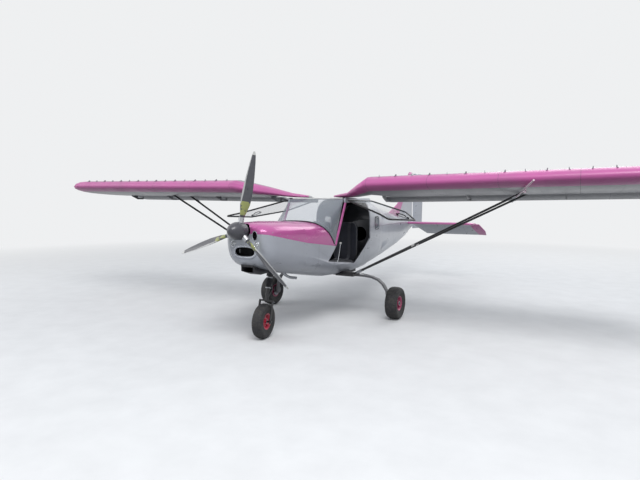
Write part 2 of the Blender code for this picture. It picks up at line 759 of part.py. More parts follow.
def unit(vector):
    """A vector's direction."""
    vector = np.asarray(vector, float)
    return vector / np.linalg.norm(vector)


def combine(target, other, operation):
    """Unites or subtracts a helper object, which is then only a hidden guide."""
    change = target.modifiers.new(f"{operation.lower()}_{other.name}", "BOOLEAN")
    change.operation = operation
    change.object = other
    other.hide_render = True
    other.display_type = "WIRE"


def cut(target, cutter):
    combine(target, cutter, "DIFFERENCE")


def join(target, other):
    combine(target, other, "UNION")


def keep_inside(target, other):
    combine(target, other, "INTERSECT")


def pivot(name, location, rotation=None):
    """An empty on a joint's axis; rotation is a matrix that turns what it carries."""
    made = bpy.data.objects.new(name, None)
    bpy.context.scene.collection.objects.link(made)
    turn = (rotation or Matrix.Identity(3)).to_4x4()
    made.matrix_world = Matrix.Translation(location) @ turn
    return made


def arc(half_width, shoulder, extreme, power, inset=0.0):
    """Half a super-ellipse from port to starboard, as (x, z) with its height share."""
    turn = np.linspace(0.0, math.pi, ARC_STEPS + 1)
    share = np.abs(np.sin(turn)) ** (2 / power)
    share[[0, -1]] = 0.0
    across = np.sign(np.cos(turn)) * np.abs(np.cos(turn)) ** (2 / power)
    across[ARC_STEPS // 2] = 0.0
    reach = extreme - shoulder - math.copysign(1.0, extreme - shoulder) * inset
    return across * (half_width - inset), shoulder + reach * share, share


def half_ring(section, upper, inset=0.0, beyond=0.0):
    """A section's upper or lower half, closed by a straight line past the shoulder."""
    station, half_width, bottom, shoulder, top, low_power, high_power = section
    extreme, power = (top, high_power) if upper else (bottom, low_power)
    x, z, _ = arc(half_width, shoulder, extreme, power, inset)
    down = -1 if upper else 1
    ring = np.stack([x, np.full_like(x, station), z], axis=1)
    if beyond:
        ends = ring[[-1, 0]].copy()
        ends[:, 2] += down * beyond
        ring = np.concatenate([ring, ends])
    return ring


def full_ring(section, inset=0.0):
    """A whole section, lower half and upper half."""
    lower = half_ring(section, False, inset)
    upper = half_ring(section, True, inset)
    return np.concatenate([upper, lower[::-1][1:-1]])


def moved(section, station):
    """A section at another station."""
    return (station, *section[1:])


def run_on(rings, front, rear):
    """Rings carried on straight past their ends by the given lengths."""
    made = list(rings)
    if front:
        made.insert(0, rings[0] - (0, front, 0))
    if rear:
        made.append(rings[-1] + (0, rear, 0))
    return made


def aerofoil(chord, thick_share, camber_share, blunt=BLUNT_SHARE, steps=AEROFOIL_STEPS):
    """A four-digit section as (distance aft, height) from its nose, tail cut blunt."""
    share = blunt * (1 - np.cos(np.linspace(0, math.pi, steps))) / 2
    half = 5 * thick_share * (
        0.2969 * np.sqrt(share)
        - 0.1260 * share
        - 0.3516 * share**2
        + 0.2843 * share**3
        - 0.1036 * share**4
    )
    peak = 0.4
    front = camber_share / peak**2 * (2 * peak * share - share**2)
    back = camber_share / (1 - peak) ** 2 * (1 - 2 * peak + 2 * peak * share - share**2)
    camber = np.where(share < peak, front, back)
    upper = np.stack([share, camber + half], axis=1)
    lower = np.stack([share, camber - half], axis=1)[::-1]
    return np.concatenate([upper, lower[:-1]]) * chord


def section_at(outline, nose, angle, x):
    """Places an aerofoil with its nose at (station, height), its tail turned down."""
    cos, sin = math.cos(angle), math.sin(angle)
    aft = outline[:, 0] * cos + outline[:, 1] * sin
    up = outline[:, 1] * cos - outline[:, 0] * sin
    return np.stack([np.full_like(aft, x), nose[0] + aft, nose[1] + up], axis=1)


def build_cowls():
    """Upper and lower engine cowls, hollow, with the nose openings cut through."""
    made = {}
    for label, upper, paint in (("upper", True, "magenta_paint"), ("lower", False, "silver_paint")):
        lift = SEAT_GAP if upper else 0.0
        rings = [half_ring(s, upper) + (0, 0, lift) for s in COWL_SECTIONS]
        rings[-1][:, 1] -= SEAT_GAP
        shell = loft(f"cowl_{label}", rings, paint)
        inner = [half_ring(s, upper, COWL_WALL, OVERRUN) for s in COWL_SECTIONS]
        inner[0][:, 1] += COWL_WALL
        inner = run_on(inner, 0.0, OVERRUN)
        cut(shell, loft(f"cowl_{label}_hollow", inner, "black_plastic"))
        made[label] = shell
    front = COWL_FRONT - OVERRUN
    behind = COWL_FRONT + COWL_WALL + OVERRUN
    turn = np.linspace(0, 2 * math.pi, 25)[:-1]
    mouth = [
        (
            MOUTH_WIDE / 2 * np.sign(np.cos(t)) * abs(np.cos(t)) ** MOUTH_POWER_SHARES[0],
            MOUTH_Z + MOUTH_HIGH / 2 * np.sign(np.sin(t)) * abs(np.sin(t)) ** MOUTH_POWER_SHARES[1],
        )
        for t in turn
    ]
    cut(made["lower"], prism("mouth_cut", mouth, "y", front, behind, "black_plastic"))
    for side_name, side in SIDES.items():
        eye = [
            (
                side * EYE_X + EYE_WIDE / 2 * np.cos(t),
                EYE_Z + EYE_HIGH / 2 * np.sin(t),
            )
            for t in turn
        ]
        eye_cut = prism(f"eye_cut_{side_name}", eye, "y", front, behind, "black_plastic")
        cut(made["lower"], eye_cut)
        cut(made["upper"], eye_cut)
        light_cut = disc(
            f"light_cut_{side_name}",
            LIGHT_RADIUS + SEAT_GAP,
            front,
            behind + LIGHT_DEEP,
            (side * LIGHT_X, 0, LIGHT_Z),
            (0, 1, 0),
            "black_plastic",
        )
        cut(made["lower"], light_cut)
    shaft_cut = disc(
        "shaft_cut", SHAFT_HOLE_RADIUS, front, behind, (0, 0, THRUST_Z), (0, 1, 0), "black_plastic"
    )
    cut(made["lower"], shaft_cut)
    cut(made["upper"], shaft_cut)


def build_lights():
    """A round lamp in a chrome ring each side of the mouth."""
    for side_name, side in SIDES.items():
        profile = (
            (0.0, COWL_FRONT - LIGHT_DEEP / 8),
            (LIGHT_RADIUS * LENS_SHARE, COWL_FRONT - LIGHT_DEEP / 10),
            (LIGHT_RADIUS, COWL_FRONT - LIGHT_DEEP / 6),
            (LIGHT_RADIUS, COWL_FRONT + LIGHT_DEEP),
            (0.0, COWL_FRONT + LIGHT_DEEP),
        )
        centre = (side * LIGHT_X, 0, LIGHT_Z)
        turned(f"landing_light_{side_name}", profile, centre, (0, 1, 0), "chrome", steps=28)


def build_scoop():
    """The black outlet scoop that hangs under the chin, open to the front."""
    floor = cowl_bottom(SCOOP_FRONT)
    rear_floor = cowl_bottom(SCOOP_REAR)
    rings = []
    for station, level, drop in (
        (SCOOP_FRONT, floor, SCOOP_DROP),
        ((SCOOP_FRONT + SCOOP_REAR) / 2, (floor + rear_floor) / 2, SCOOP_DROP),
        (SCOOP_REAR, rear_floor, SCOOP_DROP / 4),
    ):
        half = SCOOP_WIDE / 2
        ring = rounded(
            [
                (-half, level - drop),
                (half, level - drop),
                (half, level + SCOOP_DROP),
                (-half, level + SCOOP_DROP),
            ],
            drop / 5,
            3,
        )
        rings.append([(x, station, z) for x, z in ring])
    made = loft("chin_scoop", rings, "black_plastic")
    belly = [half_ring(s, False, -TRIM_GAP, SCOOP_DROP * 2) for s in COWL_SECTIONS]
    belly = run_on(belly, OVERRUN, 0.0)
    cut(made, loft("scoop_seat", belly, "black_plastic"))
    half = SCOOP_WIDE / 2 - SCOOP_WALL
    deep = SCOOP_FRONT + SCOOP_LONG * SCOOP_DEEP_SHARE
    opening = [
        (SCOOP_FRONT - OVERRUN, floor - SCOOP_DROP + SCOOP_WALL),
        (deep, cowl_bottom(deep) - SCOOP_DROP * SCOOP_FLOOR_SHARE),
        (deep, cowl_bottom(deep) - SCOOP_WALL),
        (SCOOP_FRONT - OVERRUN, floor - SCOOP_WALL),
    ]
    cut(made, prism("scoop_hollow", opening, "x", -half, half, "black_plastic"))


def cowl_bottom(station):
    """Height of the cowl's belly line at a station."""
    stations = [s[0] for s in COWL_SECTIONS]
    return float(np.interp(station, stations, [s[2] for s in COWL_SECTIONS]))


def build_firewall():
    """The plate between engine bay and cabin."""
    outer = []
    for station in (FIREWALL - FIREWALL_THICK - SEAT_GAP, FIREWALL - SEAT_GAP):
        outer.append(full_ring(moved(TUB_SECTIONS[0], station), COWL_WALL + FIREWALL_SPARE))
    loft("firewall", outer, "bare_metal")


def build_engine():
    """The engine as one plain block, its front boss facing the propeller shaft."""
    rear = FIREWALL - FIREWALL_THICK - 2 * SEAT_GAP
    half = ENGINE_WIDE / 2
    block = box(
        "engine_block",
        (-half, ENGINE_FRONT, ENGINE_Z - ENGINE_HIGH / 2),
        (half, rear, ENGINE_Z + ENGINE_HIGH / 2),
        "engine_metal",
    )
    boss = disc(
        "engine_boss",
        ENGINE_BOSS_RADIUS,
        DISC_STATION + SHAFT_LONG,
        DISC_STATION + SHAFT_LONG + ENGINE_BOSS_PROUD + ENGINE_BOSS_LAP,
        (0, 0, 0),
        (0, 1, 0),
        "engine_metal",
    )
    boss.matrix_world = thrust_matrix() @ Matrix.Translation((0, -DISC_STATION, 0))
    join(block, boss)


def thrust_matrix():
    """The propeller's frame: its origin at the hub, its -Y along the tilted thrust line."""
    return Matrix.Translation((0, DISC_STATION, THRUST_Z)) @ Matrix.Rotation(
        -THRUST_TILT, 4, "X"
    )


def build_propeller():
    """Hub with three blade clamps, spinner nose, shaft and three twisted blades."""
    axle = pivot("propeller_axis", (0, 0, 0))
    axle.matrix_world = thrust_matrix()
    half = HUB_DEEP / 2
    hub = disc("propeller_hub", HUB_RADIUS, -half, half, (0, 0, 0), (0, 1, 0), "bare_metal", axle)
    nose = [(0.0, -half - SEAT_GAP)]
    for step in range(9):
        share = step / 8
        radius = HUB_RADIUS * (1 - share**SPINNER_POWER_SHARE) ** SPINNER_TAPER_SHARE
        nose.append((radius, -half - SEAT_GAP - (SPINNER_LONG - SEAT_GAP) * share))
    turned("spinner", nose, (0, 0, 0), (0, 1, 0), "black_plastic", axle, 40)
    disc(
        "propeller_shaft",
        SHAFT_RADIUS,
        half + SEAT_GAP,
        SHAFT_LONG - SEAT_GAP,
        (0, 0, 0),
        (0, 1, 0),
        "bare_metal",
        axle,
    )
    for index in range(BLADE_COUNT):
        turn = BLADE_PHASE + 2 * math.pi * index / BLADE_COUNT
        out = Vector((math.sin(turn), 0, math.cos(turn)))
        across = Vector((-math.cos(turn), 0, math.sin(turn)))
        join(
            hub,
            disc(
                f"blade_clamp_{index}",
                CLAMP_RADIUS,
                HUB_RADIUS / 2,
                CLAMP_REACH - SEAT_GAP,
                (0, 0, 0),
                out,
                "bare_metal",
                axle,
                20,
            ),
        )
        rings = []
        for share, chord_share, pitch, thick in BLADE_SHARES:
            chord = BLADE_CHORD * chord_share
            outline = aerofoil(chord, thick, BLADE_CAMBER_SHARE, BLADE_BLUNT_SHARE, 8)
            angle = math.radians(pitch)
            cos, sin = math.cos(angle), math.sin(angle)
            ring = []
            for aft, up in outline:
                along_chord = aft - chord * BLADE_AXIS_SHARE
                lead = -along_chord
                ring.append(
                    out * (BLADE_RADIUS * share)
                    + across * (lead * cos - up * sin)
                    - Vector((0, 1, 0)) * (up * cos + lead * sin)
                )
            rings.append(ring)
        loft(f"propeller_blade_{index + 1}", rings, "black_plastic", axle)


def build_tub():
    """The lower cabin body, a hollow trough with both door openings cut from its sides."""
    rings = [half_ring(s, False) for s in TUB_SECTIONS]
    rings[-1][:, 1] -= SEAT_GAP
    tub = loft("cabin_tub", rings, "silver_paint")
    inner = [half_ring(s, False, TUB_WALL, OVERRUN) for s in TUB_SECTIONS]
    cut(tub, loft("tub_hollow", run_on(inner, OVERRUN, OVERRUN), "black_plastic"))
    reach = RAIL_OUT + OVERRUN * 2
    sill, elbow = np.array(DOOR_REAR_SILL), np.array(DOOR_REAR_ELBOW)
    beyond = tuple(elbow + unit(elbow - sill) * OVERRUN)
    opening = [
        DOOR_FRONT_SHOULDER,
        DOOR_FRONT_SILL,
        DOOR_REAR_SILL,
        beyond,
        (beyond[0], beyond[1] + OVERRUN),
        (DOOR_FRONT_SHOULDER[0] + OVERRUN, DOOR_FRONT_SHOULDER[1] + OVERRUN),
    ]
    cut(tub, prism("door_cut", opening, "x", -reach, reach, "black_plastic"))


def screen_base(inset=0.0, lift=0.0):
    """The curve on which the windscreen stands, as points from port to starboard."""
    shoulder, top = SCREEN_SHOULDER, SCREEN_TOP
    x, z, share = arc(SCREEN_HALF, shoulder, top, SCUTTLE_POWER_SHARE, inset)
    y = SCREEN_SIDE + (SCREEN_CENTRE - SCREEN_SIDE) * share
    return np.stack([x, y, z + lift], axis=1)


def scuttle_room(name, inset):
    """The room under the scuttle, as a guide that trims what stands in it."""
    section = (FIREWALL_HALF, FIREWALL_SHOULDER, FIREWALL_TOP, SCUTTLE_POWER_SHARE)
    x, z, _ = arc(*section, inset)
    front = np.stack([x, np.full_like(x, FIREWALL), z], axis=1)
    rear = screen_base(inset)
    rings = []
    for ring in (front, rear):
        ends = ring[[-1, 0]]
        drop = ring[ARC_STEPS // 2] - (ring[0] + ring[-1]) / 2
        rings.append(np.concatenate([ring, ends - drop]))
    return loft(name, rings, "black_plastic")


def build_scuttle():
    """The magenta top of the nose between firewall and windscreen."""
    front = (FIREWALL_HALF, FIREWALL_SHOULDER + SEAT_GAP, FIREWALL_TOP, SCUTTLE_POWER_SHARE)
    rings = []
    for share in (0.0, 0.5, 1.0):
        loop = []
        for inset in (0.0, COWL_WALL):
            x, z, _ = arc(*front, inset)
            start = np.stack([x, np.full_like(x, FIREWALL), z], axis=1)
            end = screen_base(inset, SEAT_GAP)
            points = start + (end - start) * share
            loop.append(points if inset == 0.0 else points[::-1])
        rings.append(np.concatenate(loop))
    loft("scuttle", rings, "magenta_paint")


def build_cabin_frame():
    """Front posts, roof panel with its side rails, and the windscreen between them."""
    lean = POST_RADIUS * POST_SLOPE_SHARE
    head = RAIL_FRONT + POST_RADIUS * POST_HEAD_SHARE
    rail_top = (RAIL_OUT - RAIL_WIDE / 2, head, RAIL_LOW - SEAT_GAP * 2)
    for side_name, side in SIDES.items():
        base = (side * POST_BASE[0], POST_BASE[1], POST_BASE[2] + lean)
        top = (side * rail_top[0], rail_top[1], rail_top[2] - lean)
        pipe(f"front_post_{side_name}", [base, top], POST_RADIUS, "magenta_paint")
    outline = []
    for share in np.linspace(-1, 1, 13):
        outline.append(
            (
                share * (RAIL_OUT - RAIL_WIDE / 3),
                ROOF_CENTRE_FRONT - ROOF_BOW * abs(share) ** ROOF_BOW_SHARE,
            )
        )
    rear = CABIN_REAR - SEAT_GAP
    outline += [(RAIL_OUT - RAIL_WIDE / 3, rear), (-RAIL_OUT + RAIL_WIDE / 3, rear)]
    roof = prism("cabin_roof", outline, "z", ROOF_LOW, ROOF_LOW + ROOF_WALL, "silver_paint")
    for side_name, side in SIDES.items():
        inner, outer = sorted((side * (RAIL_OUT - RAIL_WIDE), side * RAIL_OUT))
        rail = box(
            f"roof_rail_{side_name}",
            (inner, RAIL_FRONT, RAIL_LOW),
            (outer, rear, ROOF_LOW + ROOF_WALL / 2),
            "silver_paint",
        )
        join(roof, rail)
    for side_name, side in SIDES.items():
        for index, share in enumerate(DOOR_HINGE_SHARES):
            station = DOOR_FRONT_TOP[0] + (DOOR_REAR_TOP[0] - DOOR_FRONT_TOP[0]) * share
            level = DOOR_FRONT_TOP[1] + (DOOR_REAR_TOP[1] - DOOR_FRONT_TOP[1]) * share
            inner, outer = sorted(
                (
                    side * (RAIL_OUT - RAIL_WIDE / 2),
                    side * (DOOR_PLANE - DOOR_TUBE_RADIUS - SEAT_GAP / 3),
                )
            )
            lug = box(
                f"door_hinge_{side_name}_{index}",
                (inner, station, level - DOOR_TUBE_RADIUS),
                (outer, station + DOOR_HINGE_LONG, level + DOOR_TUBE_RADIUS),
                "silver_paint",
            )
            join(roof, lug)
    base = screen_base(0.0, SCREEN_LIFT)
    share = base[:, 0] / SCREEN_HALF
    bow = ROOF_BOW * np.abs(share) ** ROOF_BOW_SHARE
    top = np.stack(
        [
            share * (RAIL_OUT - RAIL_WIDE),
            ROOF_CENTRE_FRONT - SCREEN_SEAT - bow - SCREEN_THICK,
            ROOF_LOW + ROOF_WALL / 2 - SCREEN_CROWN * np.abs(share) ** 2,
        ],
        axis=1,
    )
    rows = []
    for level in np.linspace(0, 1, 5):
        row = base + (top - base) * level
        bulge = SCREEN_BULGE * math.sin(math.pi * level)
        row[:, 1] -= bulge * SCREEN_FORWARD_SHARE
        row[:, 2] += bulge * SCREEN_UPWARD_SHARE * (1 - np.abs(share) ** 6)
        rows.append(row)
    rings = []
    for k in range(ARC_STEPS + 1):
        outer = [row[k] for row in rows]
        ahead = rows[0][min(k + 1, ARC_STEPS)] - rows[0][max(k - 1, 0)]
        up = rows[-1][k] - rows[0][k]
        normal = np.cross(ahead, up)
        normal = normal / np.linalg.norm(normal)
        if normal[1] > 0:
            normal = -normal
        inner = [point - normal * SCREEN_THICK for point in outer[::-1]]
        rings.append(outer + inner)
    loft("windscreen", rings, "clear_glass")


def build_rear_cabin():
    """The cabin's rear part with its side windows, and the tail cone behind it."""
    rings = [full_ring(s) for s in REAR_SECTIONS]
    rings[-1][:, 1] -= SEAT_GAP
    cabin = loft("rear_cabin", rings, "silver_paint")
    inner = [full_ring(s, SKIN_WALL) for s in REAR_SECTIONS]
    inner = run_on(inner, OVERRUN, OVERRUN)
    cut(cabin, loft("rear_cabin_hollow", inner, "black_plastic"))
    half_long, half_high = REAR_WINDOW_LONG / 2, REAR_WINDOW_HIGH / 2
    station, level = REAR_WINDOW
    drop_share, lean_share, corner_share = REAR_WINDOW_SHARES
    corners = [
        (station - half_long, level - half_high),
        (station + half_long, level - half_high * drop_share),
        (station + half_long * lean_share, level + half_high * drop_share),
        (station - half_long, level + half_high),
    ]
    outline = rounded(corners, half_high * corner_share)
    reach = RAIL_OUT * 2
    cut(cabin, prism("rear_window_cut", outline, "x", -reach, reach, "black_plastic"))
    outer = [full_ring(s, REAR_PANE_INSET) for s in REAR_SECTIONS]
    inner = [full_ring(s, REAR_PANE_INSET + DOOR_PANE) for s in REAR_SECTIONS]
    skin = loft("rear_pane_outside", outer, "clear_glass")
    core = loft("rear_pane_inside", run_on(inner, OVERRUN, OVERRUN), "clear_glass")
    for side_name, side in SIDES.items():
        low, high = sorted((0.0, side * reach))
        pane = prism(
            f"rear_window_{side_name}", shrunk(outline, SEAT_GAP), "x", low, high, "clear_glass"
        )
        keep_inside(pane, skin)
        cut(pane, core)
    rings = [full_ring(s) for s in TAIL_SECTIONS]
    cone = loft("tail_cone", rings, "silver_paint")
    inner_sections = TAIL_SECTIONS[:-1]
    inner = [full_ring(s, SKIN_WALL) for s in inner_sections]
    inner[0][:, 1] += SKIN_WALL
    cut(cone, loft("tail_cone_hollow", inner, "black_plastic"))
    hole = disc(
        "bulkhead_hole",
        BULKHEAD_HOLE_RADIUS,
        BULKHEAD - OVERRUN,
        BULKHEAD + OVERRUN,
        (0, 0, BULKHEAD_SHOULDER - BULKHEAD_HOLE_DROP),
        (0, 1, 0),
        "black_plastic",
    )
    cut(cone, hole)


def cabin_space(name, spare):
    """The room inside the cabin's lower body, as a guide that trims what stands in it."""
    rings = [half_ring(s, False, TUB_WALL + spare, ROOM_HEIGHT) for s in TUB_SECTIONS]
    return loft(name, rings, "black_plastic")


def build_interior():
    """Instrument panel, two seats and the central control column."""
    half, station = PANEL_WIDE / 2, PANEL_STATION
    outline = rounded(
        [
            (-half, PANEL_LOW),
            (half, PANEL_LOW),
            (half * PANEL_TOP_SHARE, PANEL_TOP),
            (-half * PANEL_TOP_SHARE, PANEL_TOP),
        ],
        PANEL_CORNER,
    )
    panel = prism(
        "instrument_panel", outline, "y", station, station + PANEL_THICK, "black_plastic"
    )
    room = cabin_space("seat_room", SEAT_GAP)
    keep_inside(panel, scuttle_room("panel_room", TUB_WALL))
    keep_inside(panel, room)
    for side_name, side in SIDES.items():
        low, high = sorted((side * SEAT_INNER, side * SEAT_OUTER))
        pan = box(
            f"seat_{side_name}",
            (low, SEAT_FRONT, SEAT_FLOOR),
            (high, SEAT_REAR, SEAT_TOP),
            "seat_cloth",
            None,
            SEAT_ROUND,
        )
        back = box(
            f"seat_back_{side_name}",
            (low, SEAT_REAR - SEAT_BACK_THICK, SEAT_TOP - SEAT_ROUND * 2),
            (high, SEAT_REAR + SEAT_GAP, SEAT_BACK_TOP),
            "seat_cloth",
            None,
            SEAT_ROUND,
        )
        join(pan, back)
        keep_inside(pan, room)
    column = pipe("control_column", COLUMN_LINE, COLUMN_RADIUS, "black_plastic")
    keep_inside(column, room)


def door_outline():
    """The door's edge in its closed place, as (station, height) corners."""
    inset = DOOR_INSET
    return [
        (DOOR_FRONT_TOP[0] + inset, DOOR_FRONT_TOP[1]),
        (DOOR_FRONT_SHOULDER[0], DOOR_FRONT_SHOULDER[1]),
        (DOOR_FRONT_SILL[0], DOOR_FRONT_SILL[1]),
        (DOOR_REAR_SILL[0], DOOR_REAR_SILL[1]),
        (DOOR_REAR_ELBOW[0] - inset, DOOR_REAR_ELBOW[1]),
        (DOOR_REAR_TOP[0], DOOR_REAR_TOP[1]),
    ]


def door_axis(side):
    """A point on the hinge line and its direction, from front to rear."""
    front = Vector((side * DOOR_PLANE, DOOR_FRONT_TOP[0], DOOR_FRONT_TOP[1]))
    rear = Vector((side * DOOR_PLANE, DOOR_REAR_TOP[0], DOOR_REAR_TOP[1]))
    return front, (rear - front).normalized()


def build_doors():
    """Both doors, a tube frame and a clear pane each, swung up about the roof rail."""
    for side_name, side in SIDES.items():
        front, along = door_axis(side)
        swing = pivot(f"door_axis_{side_name}", front, Matrix.Rotation(-side * DOOR_OPEN, 3, along))
        corners = door_outline()
        edge = []
        for station, level in rounded(corners, DOOR_CORNER, 4):
            edge.append(
                Vector((side * DOOR_PLANE, station, level)) - front
            )
        pipe(f"door_frame_{side_name}", edge, DOOR_TUBE_RADIUS, "black_paint", swing, True, 12)
        pane = shrunk(rounded(corners, DOOR_CORNER, 4), DOOR_TUBE_RADIUS + SEAT_GAP)
        rings = []
        for offset in (-DOOR_PANE / 2, DOOR_PANE / 2):
            rings.append(
                [Vector((side * DOOR_PLANE + offset, s, z)) - front for s, z in pane]
            )
        loft(f"door_pane_{side_name}", rings, "clear_glass", swing, smooth=False)


def wing_rings(spare=0.0):
    """Sections of one wing from the fairing at the roof to the rounded tip, grown by spare."""
    rings = []
    for out_share, sweep, rise, chord_share, thick_share in WING_ROOT_SHARES:
        outline = aerofoil(WING_CHORD * chord_share, thick_share, WING_CAMBER_SHARE)
        nose = RAIL_FRONT + (WING_LE - RAIL_FRONT) * sweep
        level = ROOF_TOP + WING_RISE * rise
        rings.append(section_at(outline, (nose, level), ROOT_INCIDENCE, WING_BREAK * out_share))
    full = aerofoil(WING_CHORD, WING_THICK_SHARE, WING_CAMBER_SHARE)
    outs = (WING_BREAK, HALF_SPAN - TIP_LONG)
    for out in outs:
        level = WING_LE_Z + DIHEDRAL_SLOPE * out
        rings.append(section_at(full, (WING_LE, level), WING_INCIDENCE, out))
    for out_share, keep in WING_TIP_SHARES:
        out = HALF_SPAN - TIP_LONG * (1 - out_share)
        level = WING_LE_Z + DIHEDRAL_SLOPE * out
        outline = full.copy()
        middle = full[:, 0].mean()
        outline[:, 0] = middle + (full[:, 0] - middle) * (0.55 + 0.45 * keep)
        outline[:, 1] = full[:, 1] * keep
        rings.append(section_at(outline, (WING_LE, level), WING_INCIDENCE, out))
    if spare:
        for ring in rings:
            ring[:, 1:] = shrunk(ring[:, 1:], -spare)
    return rings


def build_wings():
    """Wings with their hinge plates, and the flaperons hung behind and below them."""
    for side_name, side in SIDES.items():
        mirror = np.array((side, 1, 1))
        wing = loft(f"wing_{side_name}", [r * mirror for r in wing_rings()], "grey_skin")
        outline = aerofoil(FLAPERON_CHORD, FLAPERON_THICK_SHARE, 0.0, FLAPERON_BLUNT_SHARE, 9)
        rings = []
        for out in (FLAPERON_ROOT, FLAPERON_TIP):
            nose = (FLAPERON_LE[0], FLAPERON_LE[1] + DIHEDRAL_SLOPE * out)
            rings.append(section_at(outline, nose, FLAPERON_ANGLE, out) * mirror)
        hinge = hinge_point(side)
        axis = pivot(f"flaperon_axis_{side_name}", hinge)
        rings = [ring - np.array(hinge) for ring in rings]
        flaperon = loft(f"flaperon_{side_name}", rings, "grey_skin", axis)
        for index, out in enumerate(HINGE_PLACES):
            rise = DIHEDRAL_SLOPE * out
            arm = HINGE_ARM
            front, knee, low_heel, high_heel, rear = [
                HINGE_STATION - HINGE_ARM_LONG * share for share in HINGE_PLATE_SHARES
            ]
            plate = [
                (front, wing_underside(out, front) + HINGE_PLATE_LAP),
                (knee, wing_underside(out, knee) - HINGE_PLATE_PROUD),
                (low_heel, HINGE_Z - arm + rise),
                (HINGE_STATION, HINGE_Z - arm + rise),
                (HINGE_STATION + arm, HINGE_Z + rise),
                (HINGE_STATION, HINGE_Z + arm + rise),
                (high_heel, HINGE_Z + arm + rise),
                (rear, wing_underside(out, rear) + HINGE_PLATE_LAP),
            ]
            low, high = sorted((side * out, side * (out + HINGE_PLATE)))
            join(wing, prism(f"hinge_plate_{side_name}_{index}", plate, "x", low, high, "grey_skin"))
            lug = [
                (HINGE_STATION - arm, HINGE_Z - arm + rise),
                (HINGE_STATION + arm, HINGE_Z - arm + rise),
                (HINGE_STATION + arm * 2, HINGE_Z + arm * 4 + rise),
                (HINGE_STATION - arm, HINGE_Z + arm * 4 + rise),
            ]
            low, high = sorted(
                (
                    side * (out + HINGE_PLATE + SEAT_GAP * 2),
                    side * (out + HINGE_PLATE * 2 + SEAT_GAP * 2),
                )
            )
            ear = prism(f"flaperon_lug_{side_name}_{index}", lug, "x", low, high, "grey_skin", axis)
            ear.location = -Vector(hinge)
            join(flaperon, ear)


def hinge_point(side):
    """The flaperon's hinge at its inner end."""
    return (side * FLAPERON_ROOT, HINGE_STATION, HINGE_Z + DIHEDRAL_SLOPE * FLAPERON_ROOT)


def wing_underside(x, station):
    """Height of the wing's lower skin at a place outboard of the root fairing."""
    full = aerofoil(WING_CHORD, WING_THICK_SHARE, WING_CAMBER_SHARE)
    ring = section_at(full, (WING_LE, WING_LE_Z + DIHEDRAL_SLOPE * x), WING_INCIDENCE, x)
    lower = ring[AEROFOIL_STEPS - 1 :]
    order = np.argsort(lower[:, 1])
    return float(np.interp(station, lower[order, 1], lower[order, 2]))


def streamline(start, end, chord, thick, forward):
    """Rings of a drop-shaped bar between two points, its nose facing forward."""
    start, end = Vector(start), Vector(end)
    along = (end - start).normalized()
    lead = Vector(forward)
    lead = (lead - along * lead.dot(along)).normalized()
    up = along.cross(lead)
    outline = aerofoil(chord, thick / chord, 0.0, STRUT_BLUNT_SHARE, 7)
    rings = []
    for point in (start, end):
        rings.append([point + lead * (chord * STRUT_AXIS_SHARE - aft) + up * rise for aft, rise in outline])
    return rings


def strut_bracket_outline(spare=0.0):
    """The bracket's side view at the belly, as (station, height), grown by spare."""
    station, level = STRUT_LOW[1:]
    front = station - STRUT_SPREAD - STRUT_CHORD
    rear = station + STRUT_SPREAD + STRUT_CHORD + BRACKET_TAIL
    corners = [
        (front, level + BRACKET_HIGH / 2),
        (front, level - BRACKET_HIGH / 2),
        (rear, level - BRACKET_HIGH * BRACKET_TAPER_SHARE),
        (rear, level),
    ]
    outline = rounded(corners, BRACKET_ROUND, 3)
    return shrunk(outline, -spare) if spare else outline


def build_struts():
    """Two lift struts a side in a V, and the black bracket they share at the belly."""
    x, station, level = STRUT_LOW
    for side_name, side in SIDES.items():
        mirror = np.array((side, 1, 1))
        inner, outer = sorted((side * BRACKET_INNER, side * x))
        bracket = prism(
            f"strut_bracket_{side_name}", strut_bracket_outline(), "x", inner, outer, "black_paint"
        )
        belly = [half_ring(s, False, -SEAT_GAP, ROOM_HEIGHT) for s in TUB_SECTIONS]
        cut(bracket, loft(f"bracket_seat_{side_name}", belly, "black_paint"))
        inner, outer = sorted((side * BRACKET_INNER, side * (x + SEAT_GAP)))
        foot = prism(
            f"strut_foot_{side_name}", strut_bracket_outline(SEAT_GAP), "x", inner, outer, "black_paint"
        )
        guide = [ring * mirror for ring in wing_rings(SEAT_GAP)]
        head = loft(f"strut_head_{side_name}", guide, "black_paint")
        for label, top, shift in (
            ("front", STRUT_FRONT_TOP, -STRUT_SPREAD),
            ("rear", STRUT_REAR_TOP, STRUT_SPREAD),
        ):
            low = Vector((side * (x - BRACKET_LAP), station + shift, level))
            high = Vector((side * top[0], top[1], wing_underside(top[0], top[1])))
            high = high + (high - low).normalized() * STRUT_THICK
            rings = streamline(low, high, STRUT_CHORD, STRUT_THICK, (0, -1, 0))
            strut = loft(f"{label}_strut_{side_name}", rings, "black_paint")
            cut(strut, foot)
            cut(strut, head)


